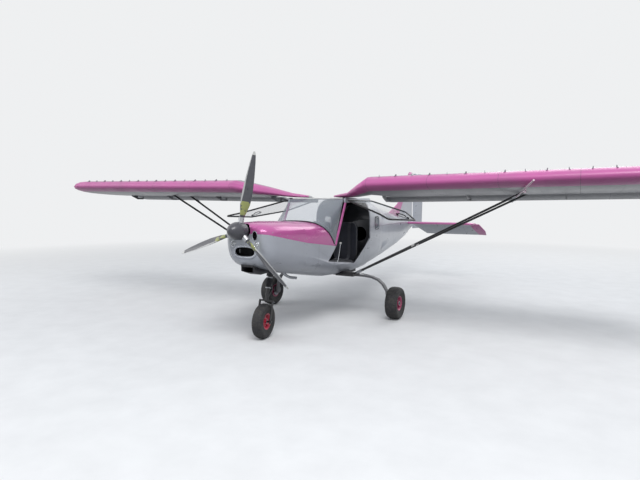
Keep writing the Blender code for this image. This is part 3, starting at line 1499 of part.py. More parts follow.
def wheel(name, centre, radius, wide, rim_radius, rim_wide, bore, carrier=None, steps=36):
    """A tyre and its rim about the x axis through the centre."""
    half = wide / 2
    round_share, wall_share = TYRE_POWER_SHARES
    boss, boss_foot = (bore * share for share in RIM_BOSS_SHARES)
    tread = []
    for turn in np.linspace(-math.pi / 2, math.pi / 2, 9):
        tread.append(
            (
                radius - (radius - rim_radius) * TYRE_CROWN_SHARE * (1 - abs(math.cos(turn)) ** round_share),
                half * math.copysign(abs(math.sin(turn)) ** wall_share, math.sin(turn)),
            )
        )
    inner = rim_radius + SEAT_GAP
    profile = [(inner, -rim_wide / 2)] + tread + [(inner, rim_wide / 2)]
    turned(f"{name}_tyre", profile, centre, (1, 0, 0), "tyre_rubber", carrier, steps)
    web = rim_wide / 6
    flange = rim_radius
    well, lip = (flange * share for share in RIM_WEB_SHARES)
    rim = [
        (bore, -rim_wide / 2),
        (boss, -rim_wide / 2),
        (boss_foot, -web),
        (well, -web),
        (lip, -rim_wide / 2),
        (flange, -rim_wide / 2),
        (flange, rim_wide / 2),
        (lip, rim_wide / 2),
        (well, web),
        (boss_foot, web),
        (boss, rim_wide / 2),
        (bore, rim_wide / 2),
    ]
    turned(f"{name}_rim", rim, centre, (1, 0, 0), "magenta_paint", carrier, steps)


def build_main_gear():
    """The one-piece bow spring with its axles, and the two main wheels."""
    # Path of the bow's middle surface as (distance out, height)
    end = WHEEL_X - TYRE_WIDE / 2 - BOW_CLEARANCE
    top = BOW_TOP - BOW_THICK / 2
    path = [(end * out, top - (top - TYRE_RADIUS) * down) for out, down in BOW_SHARES]
    whole = [(-x, z) for x, z in path[:0:-1]] + path
    rings = []
    for k, (x, z) in enumerate(whole):
        before = np.array(whole[max(k - 1, 0)])
        after = np.array(whole[min(k + 1, len(whole) - 1)])
        run = (after - before) / np.linalg.norm(after - before)
        normal = np.array((-run[1], run[0])) * BOW_THICK / 2
        taper = 1.0 - BOW_TAPER_SHARE * abs(x) / end
        half = BOW_CHORD / 2 * taper
        bend_share = max(0.0, (abs(x) / end - BOW_STRAIGHT_SHARE) / (1 - BOW_STRAIGHT_SHARE))
        station = BOW_STATION + AXLE_AFT * bend_share
        rings.append(
            [
                (x + normal[0], station - half, z + normal[1]),
                (x + normal[0], station + half, z + normal[1]),
                (x - normal[0], station + half, z - normal[1]),
                (x - normal[0], station - half, z - normal[1]),
            ]
        )
    bow = loft("main_gear_bow", rings, "bare_metal")
    for side_name, side in SIDES.items():
        inner = end - BOW_THICK / 2
        outer = WHEEL_X + RIM_WIDE / 2 + AXLE_PROUD
        axle = disc(
            f"main_axle_{side_name}",
            AXLE_RADIUS,
            inner,
            outer,
            (0, WHEEL_STATION, TYRE_RADIUS),
            (side, 0, 0),
            "bare_metal",
            None,
            24,
        )
        join(bow, axle)
        axis = pivot(f"main_wheel_axis_{side_name}", (side * WHEEL_X, WHEEL_STATION, TYRE_RADIUS))
        wheel(
            f"main_{side_name}",
            (0, 0, 0),
            TYRE_RADIUS,
            TYRE_WIDE,
            RIM_RADIUS,
            RIM_WIDE,
            AXLE_RADIUS + BORE_GAP,
            axis,
        )


def build_nose_gear():
    """The steered leg with its fork and torque link, the nose wheel, and its top socket."""
    low = np.array((NOSE_STATION, NOSE_TYRE_RADIUS))
    high = np.array(STEER_TOP)
    run = (high - low) / np.linalg.norm(high - low)
    lean = math.atan2(run[0], run[1])
    hub = Vector((0, NOSE_STATION, NOSE_TYRE_RADIUS))
    steer = pivot("nose_steering_axis", hub)
    steer.matrix_world = (
        Matrix.Translation(hub)
        @ Matrix.Rotation(-lean, 4, "X")
        @ Matrix.Rotation(STEER_TURN, 4, "Z")
    )
    long = float(np.linalg.norm(high - low))
    crown = FORK_CROWN_Z - NOSE_TYRE_RADIUS
    leg = disc("nose_leg", LEG_RADIUS, crown, long, (0, 0, 0), (0, 0, 1), "black_paint", steer, 24)
    plate = box(
        "fork_crown",
        (-FORK_BLADE_X - FORK_BLADE_THICK / 2, -FORK_BLADE_WIDE / 2, crown - CROWN_BELOW),
        (FORK_BLADE_X + FORK_BLADE_THICK / 2, FORK_BLADE_WIDE / 2, crown + CROWN_ABOVE),
        "black_paint",
        steer,
    )
    join(leg, plate)
    for side_name, side in SIDES.items():
        half = FORK_BLADE_THICK / 2
        inner, outer = sorted((side * (FORK_BLADE_X - half), side * (FORK_BLADE_X + half)))
        blade = box(
            f"fork_blade_{side_name}",
            (inner, -FORK_BLADE_WIDE / 2, -FORK_FOOT),
            (outer, FORK_BLADE_WIDE / 2, crown),
            "black_paint",
            steer,
        )
        join(leg, blade)
    reach = FORK_BLADE_X + FORK_BLADE_THICK / 2 + FORK_AXLE_PROUD
    pin = disc(
        "nose_axle", NOSE_AXLE_RADIUS, -reach, reach, (0, 0, 0), (1, 0, 0), "bare_metal", steer, 24
    )
    join(leg, pin)
    top = long - LINK_TOP_DROP
    foot = crown + LINK_FOOT_RISE
    knee = (top + crown) / 2 + LINK_KNEE_RISE
    inner = LEG_RADIUS * LINK_LAP_SHARE
    link = [
        (inner, top),
        (LEG_RADIUS + LINK_KNEE_REACH, knee),
        (inner, foot + LINK_THICK),
        (inner, foot),
        (LEG_RADIUS + LINK_KNEE_REACH + LINK_THICK, knee),
        (inner, top + LINK_THICK),
    ]
    strip = prism("torque_link", link, "x", -LINK_HALF, LINK_HALF, "bare_metal", steer)
    join(leg, strip)
    axis = pivot("nose_wheel_axis", (0, 0, 0))
    axis.parent = steer
    wheel(
        "nose",
        (0, 0, 0),
        NOSE_TYRE_RADIUS,
        NOSE_TYRE_WIDE,
        NOSE_RIM_RADIUS,
        NOSE_RIM_WIDE,
        NOSE_AXLE_RADIUS + BORE_GAP,
        axis,
    )
    socket = pivot("nose_socket_axis", hub, Matrix.Rotation(-lean, 3, "X"))
    bore = LEG_RADIUS + SEAT_GAP * 2
    ring = [
        (bore, long - SOCKET_BELOW),
        (SOCKET_RADIUS, long - SOCKET_BELOW),
        (SOCKET_RADIUS, long + SOCKET_ABOVE),
        (bore, long + SOCKET_ABOVE),
    ]
    made = turned("nose_leg_socket", ring, (0, 0, 0), (0, 0, 1), "black_plastic", socket, 28)
    half, below, above = (SOCKET_RADIUS * share for share in SOCKET_ARM_SHARES)
    arm = box(
        "socket_arm",
        (-half, STEER_TOP[0] + half, STEER_TOP[1] - below),
        (half, FIREWALL - FIREWALL_THICK - SEAT_GAP * 2, STEER_TOP[1] + above),
        "black_plastic",
    )
    join(made, arm)
    hole = disc(
        "leg_hole", SOCKET_RADIUS + MOVING_GAP, crown, long, (0, 0, 0), (0, 0, 1), "black_plastic", socket
    )
    cut(bpy.data.objects["cowl_lower"], hole)


def tail_guide(name):
    """The tail cone's outer shape with the seating gap, to trim what stands on it."""
    return loft(name, [full_ring(s, -TRIM_GAP) for s in TAIL_SECTIONS[1:]], "black_plastic")


def build_stabiliser():
    """The fixed tailplane through the tail cone, with its elevator hinge plates."""
    outline = aerofoil(STAB_CHORD, STAB_THICK / STAB_CHORD, 0.0, STAB_BLUNT_SHARE, 9)
    rings = []
    for out, keep in STAB_SHARES:
        shaped = outline * (1 - (1 - keep) * STAB_TIP_SWEEP_SHARE, keep)
        nose = STAB_LE + (1 - keep) * STAB_CHORD * STAB_TIP_SWEEP_SHARE
        rings.append(section_at(shaped, (nose, STAB_Z), 0.0, out * STAB_HALF_SPAN))
    stab = loft("stabiliser", rings, "magenta_paint")
    rear = STAB_LE + STAB_CHORD * STAB_PLATE_SHARE
    for index, out in enumerate(ELEVATOR_HINGES):
        plate = [
            (rear, STAB_Z - PLATE_HALF),
            (ELEVATOR_HINGE[0] + PLATE_HALF, ELEVATOR_HINGE[1] - PLATE_HALF),
            (ELEVATOR_HINGE[0] + PLATE_HALF, ELEVATOR_HINGE[1] + PLATE_HALF),
            (rear, STAB_Z + PLATE_HALF),
        ]
        for side_name, side in SIDES.items():
            low, high = sorted((side * out, side * (out + HINGE_PLATE)))
            join(stab, prism(f"stab_plate_{side_name}_{index}", plate, "x", low, high, "bare_metal"))
    return stab


def build_elevator():
    """One elevator across both sides, drooped on its stop."""
    axis = pivot(
        "elevator_axis", (0, *ELEVATOR_HINGE), Matrix.Rotation(-ELEVATOR_DROOP, 3, "X")
    )
    tube = disc(
        "elevator",
        TORQUE_TUBE_RADIUS,
        -ELEVATOR_TABLE[1][0],
        ELEVATOR_TABLE[1][0],
        (0, 0, 0),
        (1, 0, 0),
        "silver_paint",
        axis,
        20,
    )
    for side_name, side in SIDES.items():
        rings = []
        for out, nose, chord in ELEVATOR_TABLE:
            blade = aerofoil(chord, ELEVATOR_THICK / ELEVATOR_CHORD, 0.0, ELEVATOR_BLUNT_SHARE, 9)
            ring = section_at(blade, (nose, 0.0), 0.0, side * out)
            rings.append(ring)
        half = loft(f"elevator_half_{side_name}", rings, "silver_paint", axis)
        join(tube, half)
        for index, out in enumerate(ELEVATOR_HINGES):
            lug = [
                (-PLATE_HALF, -PLATE_HALF),
                (PLATE_HALF * 6, -PLATE_HALF),
                (PLATE_HALF * 6, PLATE_HALF),
                (-PLATE_HALF, PLATE_HALF),
            ]
            start = out + HINGE_PLATE + SEAT_GAP * 2
            low, high = sorted((side * start, side * (start + HINGE_PLATE)))
            join(tube, prism(f"elevator_lug_{side_name}_{index}", lug, "x", low, high, "silver_paint", axis))
    return tube


def build_fin():
    """The fin with its dorsal run and hinge plates, and the rudder turned to port."""
    rings = []
    for level, nose in FIN_TABLE:
        chord = (FIN_TAIL - nose) / STAB_BLUNT_SHARE
        outline = aerofoil(chord, FIN_THICK / chord, 0.0, STAB_BLUNT_SHARE, 9)
        ring = np.stack(
            [outline[:, 1], nose + outline[:, 0], np.full(len(outline), level)], axis=1
        )
        rings.append(ring)
    fin = loft("fin", rings, "magenta_paint")
    cut(fin, tail_guide("fin_seat"))
    axis = pivot("rudder_axis", (0, FIN_HINGE, 0), Matrix.Rotation(-RUDDER_TURN, 3, "Z"))
    rings = []
    for level, tail in RUDDER_TABLE:
        chord = (tail - RUDDER_NOSE) / RUDDER_BLUNT_SHARE
        thick_share = FIN_THICK / chord * RUDDER_THICK_SHARE
        outline = aerofoil(chord, thick_share, 0.0, RUDDER_BLUNT_SHARE, 9)
        ring = np.stack(
            [outline[:, 1], RUDDER_NOSE + outline[:, 0], np.full(len(outline), level)], axis=1
        )
        rings.append(ring)
    rudder = loft("rudder", rings, "silver_paint", axis)
    for index, level in enumerate(RUDDER_HINGES):
        plate = [
            (-PLATE_HALF, FIN_TAIL - PLATE_HALF * 3),
            (PLATE_HALF, FIN_TAIL - PLATE_HALF * 3),
            (PLATE_HALF, FIN_HINGE + PLATE_HALF),
            (-PLATE_HALF, FIN_HINGE + PLATE_HALF),
        ]
        join(fin, prism(f"fin_plate_{index}", plate, "z", level, level + HINGE_PLATE, "bare_metal"))
        lug = [
            (-PLATE_HALF, -PLATE_HALF),
            (PLATE_HALF, -PLATE_HALF),
            (PLATE_HALF, RUDDER_NOSE + PLATE_HALF * 4),
            (-PLATE_HALF, RUDDER_NOSE + PLATE_HALF * 4),
        ]
        low = level + HINGE_PLATE + SEAT_GAP * 2
        join(rudder, prism(f"rudder_lug_{index}", lug, "z", low, low + HINGE_PLATE, "silver_paint", axis))


def build_tail():
    """Tailplane, elevator, fin and rudder, with the slots they need in the tail cone."""
    cone = bpy.data.objects["tail_cone"]
    build_stabiliser()
    build_elevator()
    build_fin()
    slot = disc(
        "torque_tube_slot",
        TORQUE_TUBE_RADIUS + MOVING_GAP,
        -BULKHEAD_HALF,
        BULKHEAD_HALF,
        (0, *ELEVATOR_HINGE),
        (1, 0, 0),
        "black_plastic",
    )
    cut(cone, slot)
    spare = MOVING_GAP / 8
    thick_share = STAB_THICK / STAB_CHORD * STAB_SLOT_SHARES[0]
    outline = aerofoil(STAB_CHORD + spare * 2, thick_share, 0.0, STAB_SLOT_SHARES[1], 9)
    rings = [
        section_at(outline, (STAB_LE - spare, STAB_Z), 0.0, out)
        for out in (-BULKHEAD_HALF, BULKHEAD_HALF)
    ]
    cut(cone, loft("stab_slot", rings, "black_plastic"))


def build_probe():
    """The air-data probe that hangs under the port wing's nose."""
    x, station = PROBE_OUT, WING_LE + PROBE_AFT
    top = wing_underside(x, station) + PROBE_RADIUS * 2
    low = top - PROBE_DROP
    line = [(x, station, top), (x, station, low), (x, station - PROBE_REACH, low)]
    probe = pipe("air_probe", line, PROBE_RADIUS, "bare_metal", steps=10)
    cut(probe, loft("probe_seat", wing_rings(SEAT_GAP), "bare_metal"))


build_cowls()
build_lights()
build_scoop()
build_firewall()
build_engine()
build_propeller()
build_tub()
build_scuttle()
build_cabin_frame()
build_rear_cabin()
build_interior()
build_doors()
build_wings()
build_struts()
build_main_gear()
build_nose_gear()
build_tail()
build_probe()
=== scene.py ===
import json
import math

import bmesh
import bpy
import numpy as np
from bpy.props import FloatProperty, FloatVectorProperty, IntProperty, PointerProperty
from mathutils import Matrix, Vector
from mathutils.bvhtree import BVHTree

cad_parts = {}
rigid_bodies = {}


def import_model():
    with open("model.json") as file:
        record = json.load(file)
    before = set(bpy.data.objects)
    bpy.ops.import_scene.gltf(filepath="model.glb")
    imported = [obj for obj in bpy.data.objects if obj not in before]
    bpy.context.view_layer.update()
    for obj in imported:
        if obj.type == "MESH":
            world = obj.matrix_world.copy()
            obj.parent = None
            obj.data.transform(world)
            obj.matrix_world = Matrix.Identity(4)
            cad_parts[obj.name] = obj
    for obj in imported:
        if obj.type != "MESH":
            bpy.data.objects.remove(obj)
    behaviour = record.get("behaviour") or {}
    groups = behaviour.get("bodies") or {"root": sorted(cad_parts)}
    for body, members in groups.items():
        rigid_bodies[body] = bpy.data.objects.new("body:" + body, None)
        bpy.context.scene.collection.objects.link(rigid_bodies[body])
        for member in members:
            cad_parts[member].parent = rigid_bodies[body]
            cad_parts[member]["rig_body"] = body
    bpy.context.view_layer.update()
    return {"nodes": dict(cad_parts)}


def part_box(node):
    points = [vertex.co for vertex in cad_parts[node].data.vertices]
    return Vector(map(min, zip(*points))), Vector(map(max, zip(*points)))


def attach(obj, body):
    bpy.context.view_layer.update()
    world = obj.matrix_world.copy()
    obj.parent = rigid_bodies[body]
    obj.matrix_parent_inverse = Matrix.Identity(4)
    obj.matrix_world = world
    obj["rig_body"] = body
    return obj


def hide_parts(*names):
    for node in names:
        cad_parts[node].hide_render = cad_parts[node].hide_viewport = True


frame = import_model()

bl_info = {
    "name": "Strut-braced Ultralight",
    "version": (1, 0, 0),
    "blender": (4, 5, 0),
    "location": "3D View > Sidebar > Ultralight",
    "description": "Finishes and fine pieces for a high-wing ultralight aircraft",
    "category": "Add Mesh",
}

TAU = 2 * math.pi
SIDES = {"port": 1.0, "starboard": -1.0}

# Camera, in the aircraft's own frame
CAMERA_AT = (3.273, -7.312, 1.596)
CAMERA_YAW = math.radians(-28.584)
CAMERA_PITCH = math.radians(-4.282)
CAMERA_ROLL = math.radians(0.211)
CAMERA_LENS = 26.98
SENSOR = 36.0

# Sizes that the fine pieces share with the solids
DOOR_PLANE = 0.493
HINGE_LEVEL = 1.645
DOOR_OPEN = math.radians(73.0)
THRUST = Vector((0.0, math.cos(math.radians(4.0)), -math.sin(math.radians(4.0))))
HUB = Vector((0.0, -3.150, 1.300))
STEER_LEAN = math.atan2(0.153, 0.593)
STEER_TURN = math.radians(8.0)
NOSE_HUB = Vector((0.0, -2.699, 0.207))
MAIN_HUB = Vector((1.032, -0.997, 0.2245))
BLADE_PHASE = math.radians(11.0)
HUB_UP = (0.0, math.sin(math.radians(4.0)), math.cos(math.radians(4.0)))
COWL_FACE = -3.046
FIREWALL = -2.346
MOUTH_LEVEL = 1.062
MOUTH_WIDE = 0.290
MOUTH_HIGH = 0.126
EYE_OUT = 0.132
EYE_LEVEL = 1.245
EYE_WIDE = 0.070
EYE_HIGH = 0.105
SCREEN_HALF = 0.455
SCREEN_LOW = 1.050
SCREEN_HIGH = 1.370
SCREEN_POWER = 3.0
SCREEN_SIDE = -1.726
SCREEN_CENTRE = -1.966
REAR_WINDOW = (-0.236, 1.305)
# Level of the fuselage's middle line, from which the faces given painted shade inside are found
INSIDE_SHADE_LEVEL = 1.150
VANE_STATION = -1.955
WING_ROOT = 0.470
WING_CRANK = 1.000
ROOT_NOSE = -1.440
WING_NOSE = -2.074
FLAPERON_LINE = -0.935
ELEVATOR_LINE = 2.625
ELEVATOR_LEVEL = 1.213

# Frames, ribs and spars, which both the seams and the rivets follow
CABIN_FRAMES = (-2.100, -1.726, -1.100, -0.800)
TAIL_FRAMES = (0.574, 1.000, 1.424, 1.800, 2.130, 2.450)
FRONT_SPAR = -1.735
WING_SEAMS = (1.02, 1.75, 2.50, 3.25, 4.00)
FLAPERON_SEAMS = (1.45, 2.50, 3.55)
TAILPLANE_SEAMS = (0.28, 0.72, 1.16)
FIN_SEAMS = (1.36, 1.66, 1.96)
SEAM_HALF = 0.0014
TAIL_SEAM_HALF = 0.0012
CREASE_LEVEL = 1.247
CREASE_HALF = 0.0020
CREASE_FROM = -0.560

# Borders of the painted bands
ROOT_BAND_OUT = 0.400
ROOT_BAND = 0.220
NOSE_BAND = 0.155
WING_TIP_BAND = 4.345
TAILPLANE_BAND = 2.330
TAILPLANE_TIP_BAND = 1.300
ELEVATOR_BAND_FROM = 2.620
ELEVATOR_BAND_LEAN = 0.35
ELEVATOR_TIP_BAND = 1.290
FIN_BAND_LEVEL = 1.600
FIN_BAND_LEAN = 0.90
FIN_BAND = 2.180
STRUT_BAND = 1.400
STRUT_BAND_HALF = 0.020
SKIRT_RADIUS = 0.1005
BLADE_TIP_BAND = 0.835
BLADE_ROOT_BAND = 0.255
BLADE_ROOT_HALF = 0.075
GUARD_FROM = 0.300
GUARD_SHARE = 0.16

# Rays that set small pieces on a skin start from here
RAYS_ABOVE = 2.5
RAYS_BELOW = 1.2
RAYS_BELOW_TAIL = 0.3
RAY_REACH = 2.0
HOOP_RAYS = 260

# Angles in degrees past which an edge is sharp, and the distances within which points are one
SHARP = 35.0
SKIN_SHARP = 32.0
WELD = 1e-6
SKIN_WELD = 2e-5
SMALL_WELD = 1e-7

# Stage: each light has a name, a place, a power in watts and a width
LIGHTS = (
    ("key_light", (5.0, -8.0, 10.0), 950.0, 6.0),
    ("fill_light", (-9.0, -7.0, 6.0), 300.0, 8.0),
    ("back_light", (3.0, 10.0, 8.0), 420.0, 8.0),
)
LIT_POINT = Vector((0.0, 0.0, 1.0))
FLOOR_RADIUS = 60.0
FLOOR_SIDES = 96
FLOOR_DROP = 0.0005
FADE_FROM = 4.8
FADE_TO = 15.0
SKY = (0.86, 0.90, 0.96, 1)
SKY_STRENGTH = 0.55

# Finishes that carry painted shade: dark on the faces that look into the fuselage
SHADED_INSIDE = ("cowl", "magenta_cowl", "tub", "roof", "rear")


def settings():
    """The property group that holds what a user would change."""
    return bpy.context.scene.ultralight


# Surfaces


def grid_faces(rows, cols, wrap_rows, wrap_cols):
    """Quads between neighbours of a rows by cols grid of points, as an array of indices."""
    row = np.arange(rows if wrap_rows else rows - 1)[:, None]
    col = np.arange(cols if wrap_cols else cols - 1)[None, :]
    below, right = (row + 1) % rows, (col + 1) % cols
    corners = (
        row * cols + col,
        row * cols + right,
        below * cols + right,
        below * cols + col,
    )
    return np.stack(np.broadcast_arrays(*corners), axis=-1).reshape(-1, 4)


def make(name, points, faces, body, material, angle=SHARP, weld=WELD):
    """A mesh from arrays, its doubles merged and its faces turned out, riding on a body."""
    mesh = bpy.data.meshes.new(name)
    mesh.from_pydata(np.asarray(points, float).reshape(-1, 3).tolist(), [], [list(f) for f in faces])
    work = bmesh.new()
    work.from_mesh(mesh)
    bmesh.ops.remove_doubles(work, verts=work.verts, dist=weld)
    bmesh.ops.recalc_face_normals(work, faces=work.faces)
    work.to_mesh(mesh)
    work.free()
    return own(name, mesh, body, material, angle)


def own(name, mesh, body, material, angle=SHARP):
    """Links a finished mesh as a piece of the aircraft."""
    mesh.materials.clear()
    mesh.materials.append(material)
    if angle:
        mesh.shade_smooth()
        mesh.set_sharp_from_angle(angle=math.radians(angle))
    piece = bpy.data.objects.new(name, mesh)
    bpy.context.scene.collection.objects.link(piece)
    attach(piece, body)
    return piece


def sweep(name, rings, body, material, closed=False, caps=True, angle=SHARP):
    """Skins rings, an array of rings by points by 3, each ring closed on itself."""
    rings = np.asarray(rings, float)
    rows, cols = rings.shape[:2]
    faces = grid_faces(rows, cols, closed, True).tolist()
    if caps and not closed:
        faces.append(list(range(cols)))
        faces.append(list(range((rows - 1) * cols, rows * cols))[::-1])
    return make(name, rings, faces, body, material, angle)


def frames_along(path, closed):
    """Two unit normals at each point of a path, as arrays."""
    if closed:
        tangent = np.roll(path, -1, axis=0) - np.roll(path, 1, axis=0)
    else:
        tangent = np.gradient(path, axis=0)
    tangent /= np.linalg.norm(tangent, axis=1, keepdims=True)
    spread = np.abs(tangent).max(axis=0)
    reference = np.eye(3)[int(np.argmin(spread))]
    first = np.cross(tangent, reference)
    first /= np.linalg.norm(first, axis=1, keepdims=True)
    return first, np.cross(tangent, first)


def tube_rings(path, radius, sides=14, closed=False):
    """Circles of a radius about each point of a path: centre + r (n cos t + b sin t)."""
    path = np.asarray(path, float)
    first, second = frames_along(path, closed)
    turn = np.linspace(0, TAU, sides, endpoint=False)
    radius = np.broadcast_to(np.asarray(radius, float), (len(path),))[:, None, None]
    circle = first[:, None] * np.cos(turn)[None, :, None]
    circle = circle + second[:, None] * np.sin(turn)[None, :, None]
    return path[:, None] + radius * circle


def tube(name, path, radius, body, material, sides=14, closed=False):
    """A round tube along a path."""
    rings = tube_rings(path, radius, sides, closed)
    return sweep(name, rings, body, material, closed=closed)


def eased(points, per=8):
    """A smooth run through points, by Catmull-Rom cubics worked out as whole arrays."""
    points = np.asarray(points, float)
    padded = np.vstack([2 * points[0] - points[1], points, 2 * points[-1] - points[-2]])
    t = np.linspace(0, 1, per, endpoint=False)[None, :, None]
    a, b, c, d = (padded[k : len(padded) - 3 + k][:, None] for k in range(4))
    run = 0.5 * (
        2 * b + (c - a) * t + (2 * a - 5 * b + 4 * c - d) * t**2 + (3 * b - a - 3 * c + d) * t**3
    )
    return np.vstack([run.reshape(-1, 3), points[-1]])


def rounded(turn, power):
    """Cosine and sine drawn toward a square: sign(c) |c|^power, and the same of the sine."""
    cos, sin = np.cos(turn), np.sin(turn)
    return np.sign(cos) * np.abs(cos) ** power, np.sign(sin) * np.abs(sin) ** power


def basis_of(axis):
    """Two unit vectors square to an axis, and the axis itself, as the rows of an array."""
    along = Vector(axis).normalized()
    up = Vector((0, 0, 1)) if abs(along.z) < 0.7 else Vector((0, 1, 0))
    up = (up - along * up.dot(along)).normalized()
    return np.array([up, along.cross(up), along])


def turned_rings(profile, centre, axis, steps):
    """Each point (r, a) of a profile carried round an axis: centre + a k + r (i cos t + j sin t)."""
    up, side, along = basis_of(axis)
    profile = np.asarray(profile, float)
    turn = np.linspace(0, TAU, steps, endpoint=False)[:, None, None]
    radius, shift = profile[None, :, 0, None], profile[None, :, 1, None]
    return np.asarray(centre) + radius * (np.cos(turn) * up + np.sin(turn) * side) + shift * along


def turned(name, profile, centre, axis, body, material, steps=64, angle=SHARP):
    """A solid of revolution from a closed profile of (radius, distance along the axis)."""
    rings = turned_rings(profile, centre, axis, steps)
    return sweep(name, rings, body, material, closed=True, angle=angle)


def scattered(name, shape, faces, places, bases, sizes, body, material, angle=SHARP):
    """Copies of one small shape: place + size (x i + y j + z k), one broadcast for all."""
    shape, places = np.asarray(shape, float), np.asarray(places, float)
    bases = np.broadcast_to(np.asarray(bases, float), (len(places), 3, 3))
    sizes = np.broadcast_to(np.asarray(sizes, float), (len(places),))
    points = places[:, None] + np.einsum("vk,nkd->nvd", shape, bases) * sizes[:, None, None]
    faces = [
        [index + copy * len(shape) for index in face]
        for copy in range(len(places))
        for face in faces
    ]
    return make(name, points, faces, body, material, angle, SMALL_WELD)


def dome(sides=8):
    """A low rivet head of unit radius on the plane z = 0, as points and faces."""
    turn = np.linspace(0, TAU, sides, endpoint=False)
    rim = np.stack([np.cos(turn), np.sin(turn), np.zeros(sides)], axis=1)
    foot = rim * (1, 1, 0) - (0, 0, 0.3)
    ring = rim * (0.62, 0.62, 1) + (0, 0, 0.32)
    points = np.vstack([foot, rim, ring, [[0, 0, 0.44]]])
    here = np.arange(sides)
    there = (here + 1) % sides
    faces = [list(here[::-1])]
    for level in (0, sides):
        faces += np.stack(
            [here + level, there + level, there + level + sides, here + level + sides], axis=1
        ).tolist()
    top = 2 * sides
    faces += np.stack([here + top, there + top, np.full(sides, 3 * sides)], axis=1).tolist()
    return points, faces


def block():
    """A unit cube about the origin, as points and faces."""
    points = np.array([(x, y, z) for x in (-0.5, 0.5) for y in (-0.5, 0.5) for z in (-0.5, 0.5)])
    faces = [[0, 1, 3, 2], [4, 6, 7, 5], [0, 4, 5, 1], [2, 3, 7, 6], [0, 2, 6, 4], [1, 5, 7, 3]]
    return points, faces


def skin_of(node, material):
    """A merged, smoothly shaded copy of a solid, which stands for it."""
    source = frame["nodes"][node]
    mesh = source.data.copy()
    work = bmesh.new()
    work.from_mesh(mesh)
    bmesh.ops.remove_doubles(work, verts=work.verts, dist=SKIN_WELD)
    bmesh.ops.dissolve_degenerate(work, dist=WELD, edges=work.edges)
    work.to_mesh(mesh)
    work.free()
    piece = own(f"{node}_skin", mesh, source["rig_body"], material, SKIN_SHARP)
    weighted = piece.modifiers.new("even shading", "WEIGHTED_NORMAL")
    weighted.keep_sharp = True
    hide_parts(node)
    return piece


# Finishes


class Nodes:
    """Short calls that add and link shader nodes in one material."""

    def __init__(self, name):
        self.material = bpy.data.materials.new(name)
        self.material.use_nodes = True
        self.tree = self.material.node_tree
        self.shader = self.tree.nodes["Principled BSDF"]
        self.place = self.add("ShaderNodeTexCoord").outputs["Object"]

    def add(self, kind, **inputs):
        """A node with its named sockets set to a value or linked to another socket."""
        node = self.tree.nodes.new(kind)
        for key, value in inputs.items():
            self.feed(node.inputs[key.replace("_", " ")], value)
        return node

    def feed(self, socket, value):
        """Links a socket, or sets its value."""
        if isinstance(value, bpy.types.NodeSocket):
            self.tree.links.new(value, socket)
        else:
            socket.default_value = value

    def math(self, operation, first, second=0.0, clamp=False):
        """One Math node."""
        node = self.tree.nodes.new("ShaderNodeMath")
        node.operation = operation
        node.use_clamp = clamp
        self.feed(node.inputs[0], first)
        self.feed(node.inputs[1], second)
        return node.outputs[0]

    def axes(self):
        """X, Y and Z of the place as three sockets."""
        return self.add("ShaderNodeSeparateXYZ", Vector=self.place).outputs

    def noise(self, scale, detail=4.0, roughness=0.55, stretch=(1, 1, 1)):
        """Noise at a scale in cycles a metre, stretched along the axes."""
        mapping = self.add("ShaderNodeMapping", Vector=self.place)
        mapping.inputs["Scale"].default_value = stretch
        made = self.add("ShaderNodeTexNoise", Vector=mapping.outputs[0])
        made.inputs["Scale"].default_value = scale
        made.inputs["Detail"].default_value = detail
        made.inputs["Roughness"].default_value = roughness
        return made.outputs["Fac"]

    def remap(self, value, low, high, out_low, out_high):
        """A value's range carried to another, clamped."""
        node = self.add("ShaderNodeMapRange", Value=value)
        for key, number in (
            ("From Min", low),
            ("From Max", high),
            ("To Min", out_low),
            ("To Max", out_high),
        ):
            node.inputs[key].default_value = number
        return node.outputs[0]

    def within(self, value, middle, half):
        """1 where a value is within half of a middle."""
        away = self.math("ABSOLUTE", self.math("SUBTRACT", value, middle))
        return self.math("LESS_THAN", away, half)

    def either(self, *masks):
        """The highest of several masks."""
        found = masks[0]
        for mask in masks[1:]:
            found = self.math("MAXIMUM", found, mask)
        return found

    def both(self, *masks):
        """The product of several masks."""
        found = masks[0]
        for mask in masks[1:]:
            found = self.math("MULTIPLY", found, mask)
        return found

    def mix(self, share, first, second):
        """Two colours mixed by a share."""
        node = self.tree.nodes.new("ShaderNodeMix")
        node.data_type = "RGBA"
        self.feed(node.inputs[0], share)
        self.feed(node.inputs[6], first)
        self.feed(node.inputs[7], second)
        return node.outputs[2]

    def bump(self, height, strength, distance, below=None):
        """A bump from a height, on top of another."""
        node = self.add("ShaderNodeBump", Height=height)
        node.inputs["Strength"].default_value = strength
        node.inputs["Distance"].default_value = distance
        if below is not None:
            self.tree.links.new(below, node.inputs["Normal"])
        return node.outputs[0]

    def set(self, **values):
        """Sets or links the shader's own sockets."""
        for key, value in values.items():
            self.feed(self.shader.inputs[key.replace("_", " ")], value)
        return self.material


def linear(red, green, blue):
    """A colour given in display values, 0 to 255, as linear light."""
    share = np.array([red, green, blue]) / 255.0
    light = np.where(share <= 0.04045, share / 12.92, ((share + 0.055) / 1.055) ** 2.4)
    return (*map(float, light), 1.0)


def shaded(colour, factor):
    """A colour made darker or lighter."""
    return (*[min(1.0, c * factor) for c in colour[:3]], 1.0)


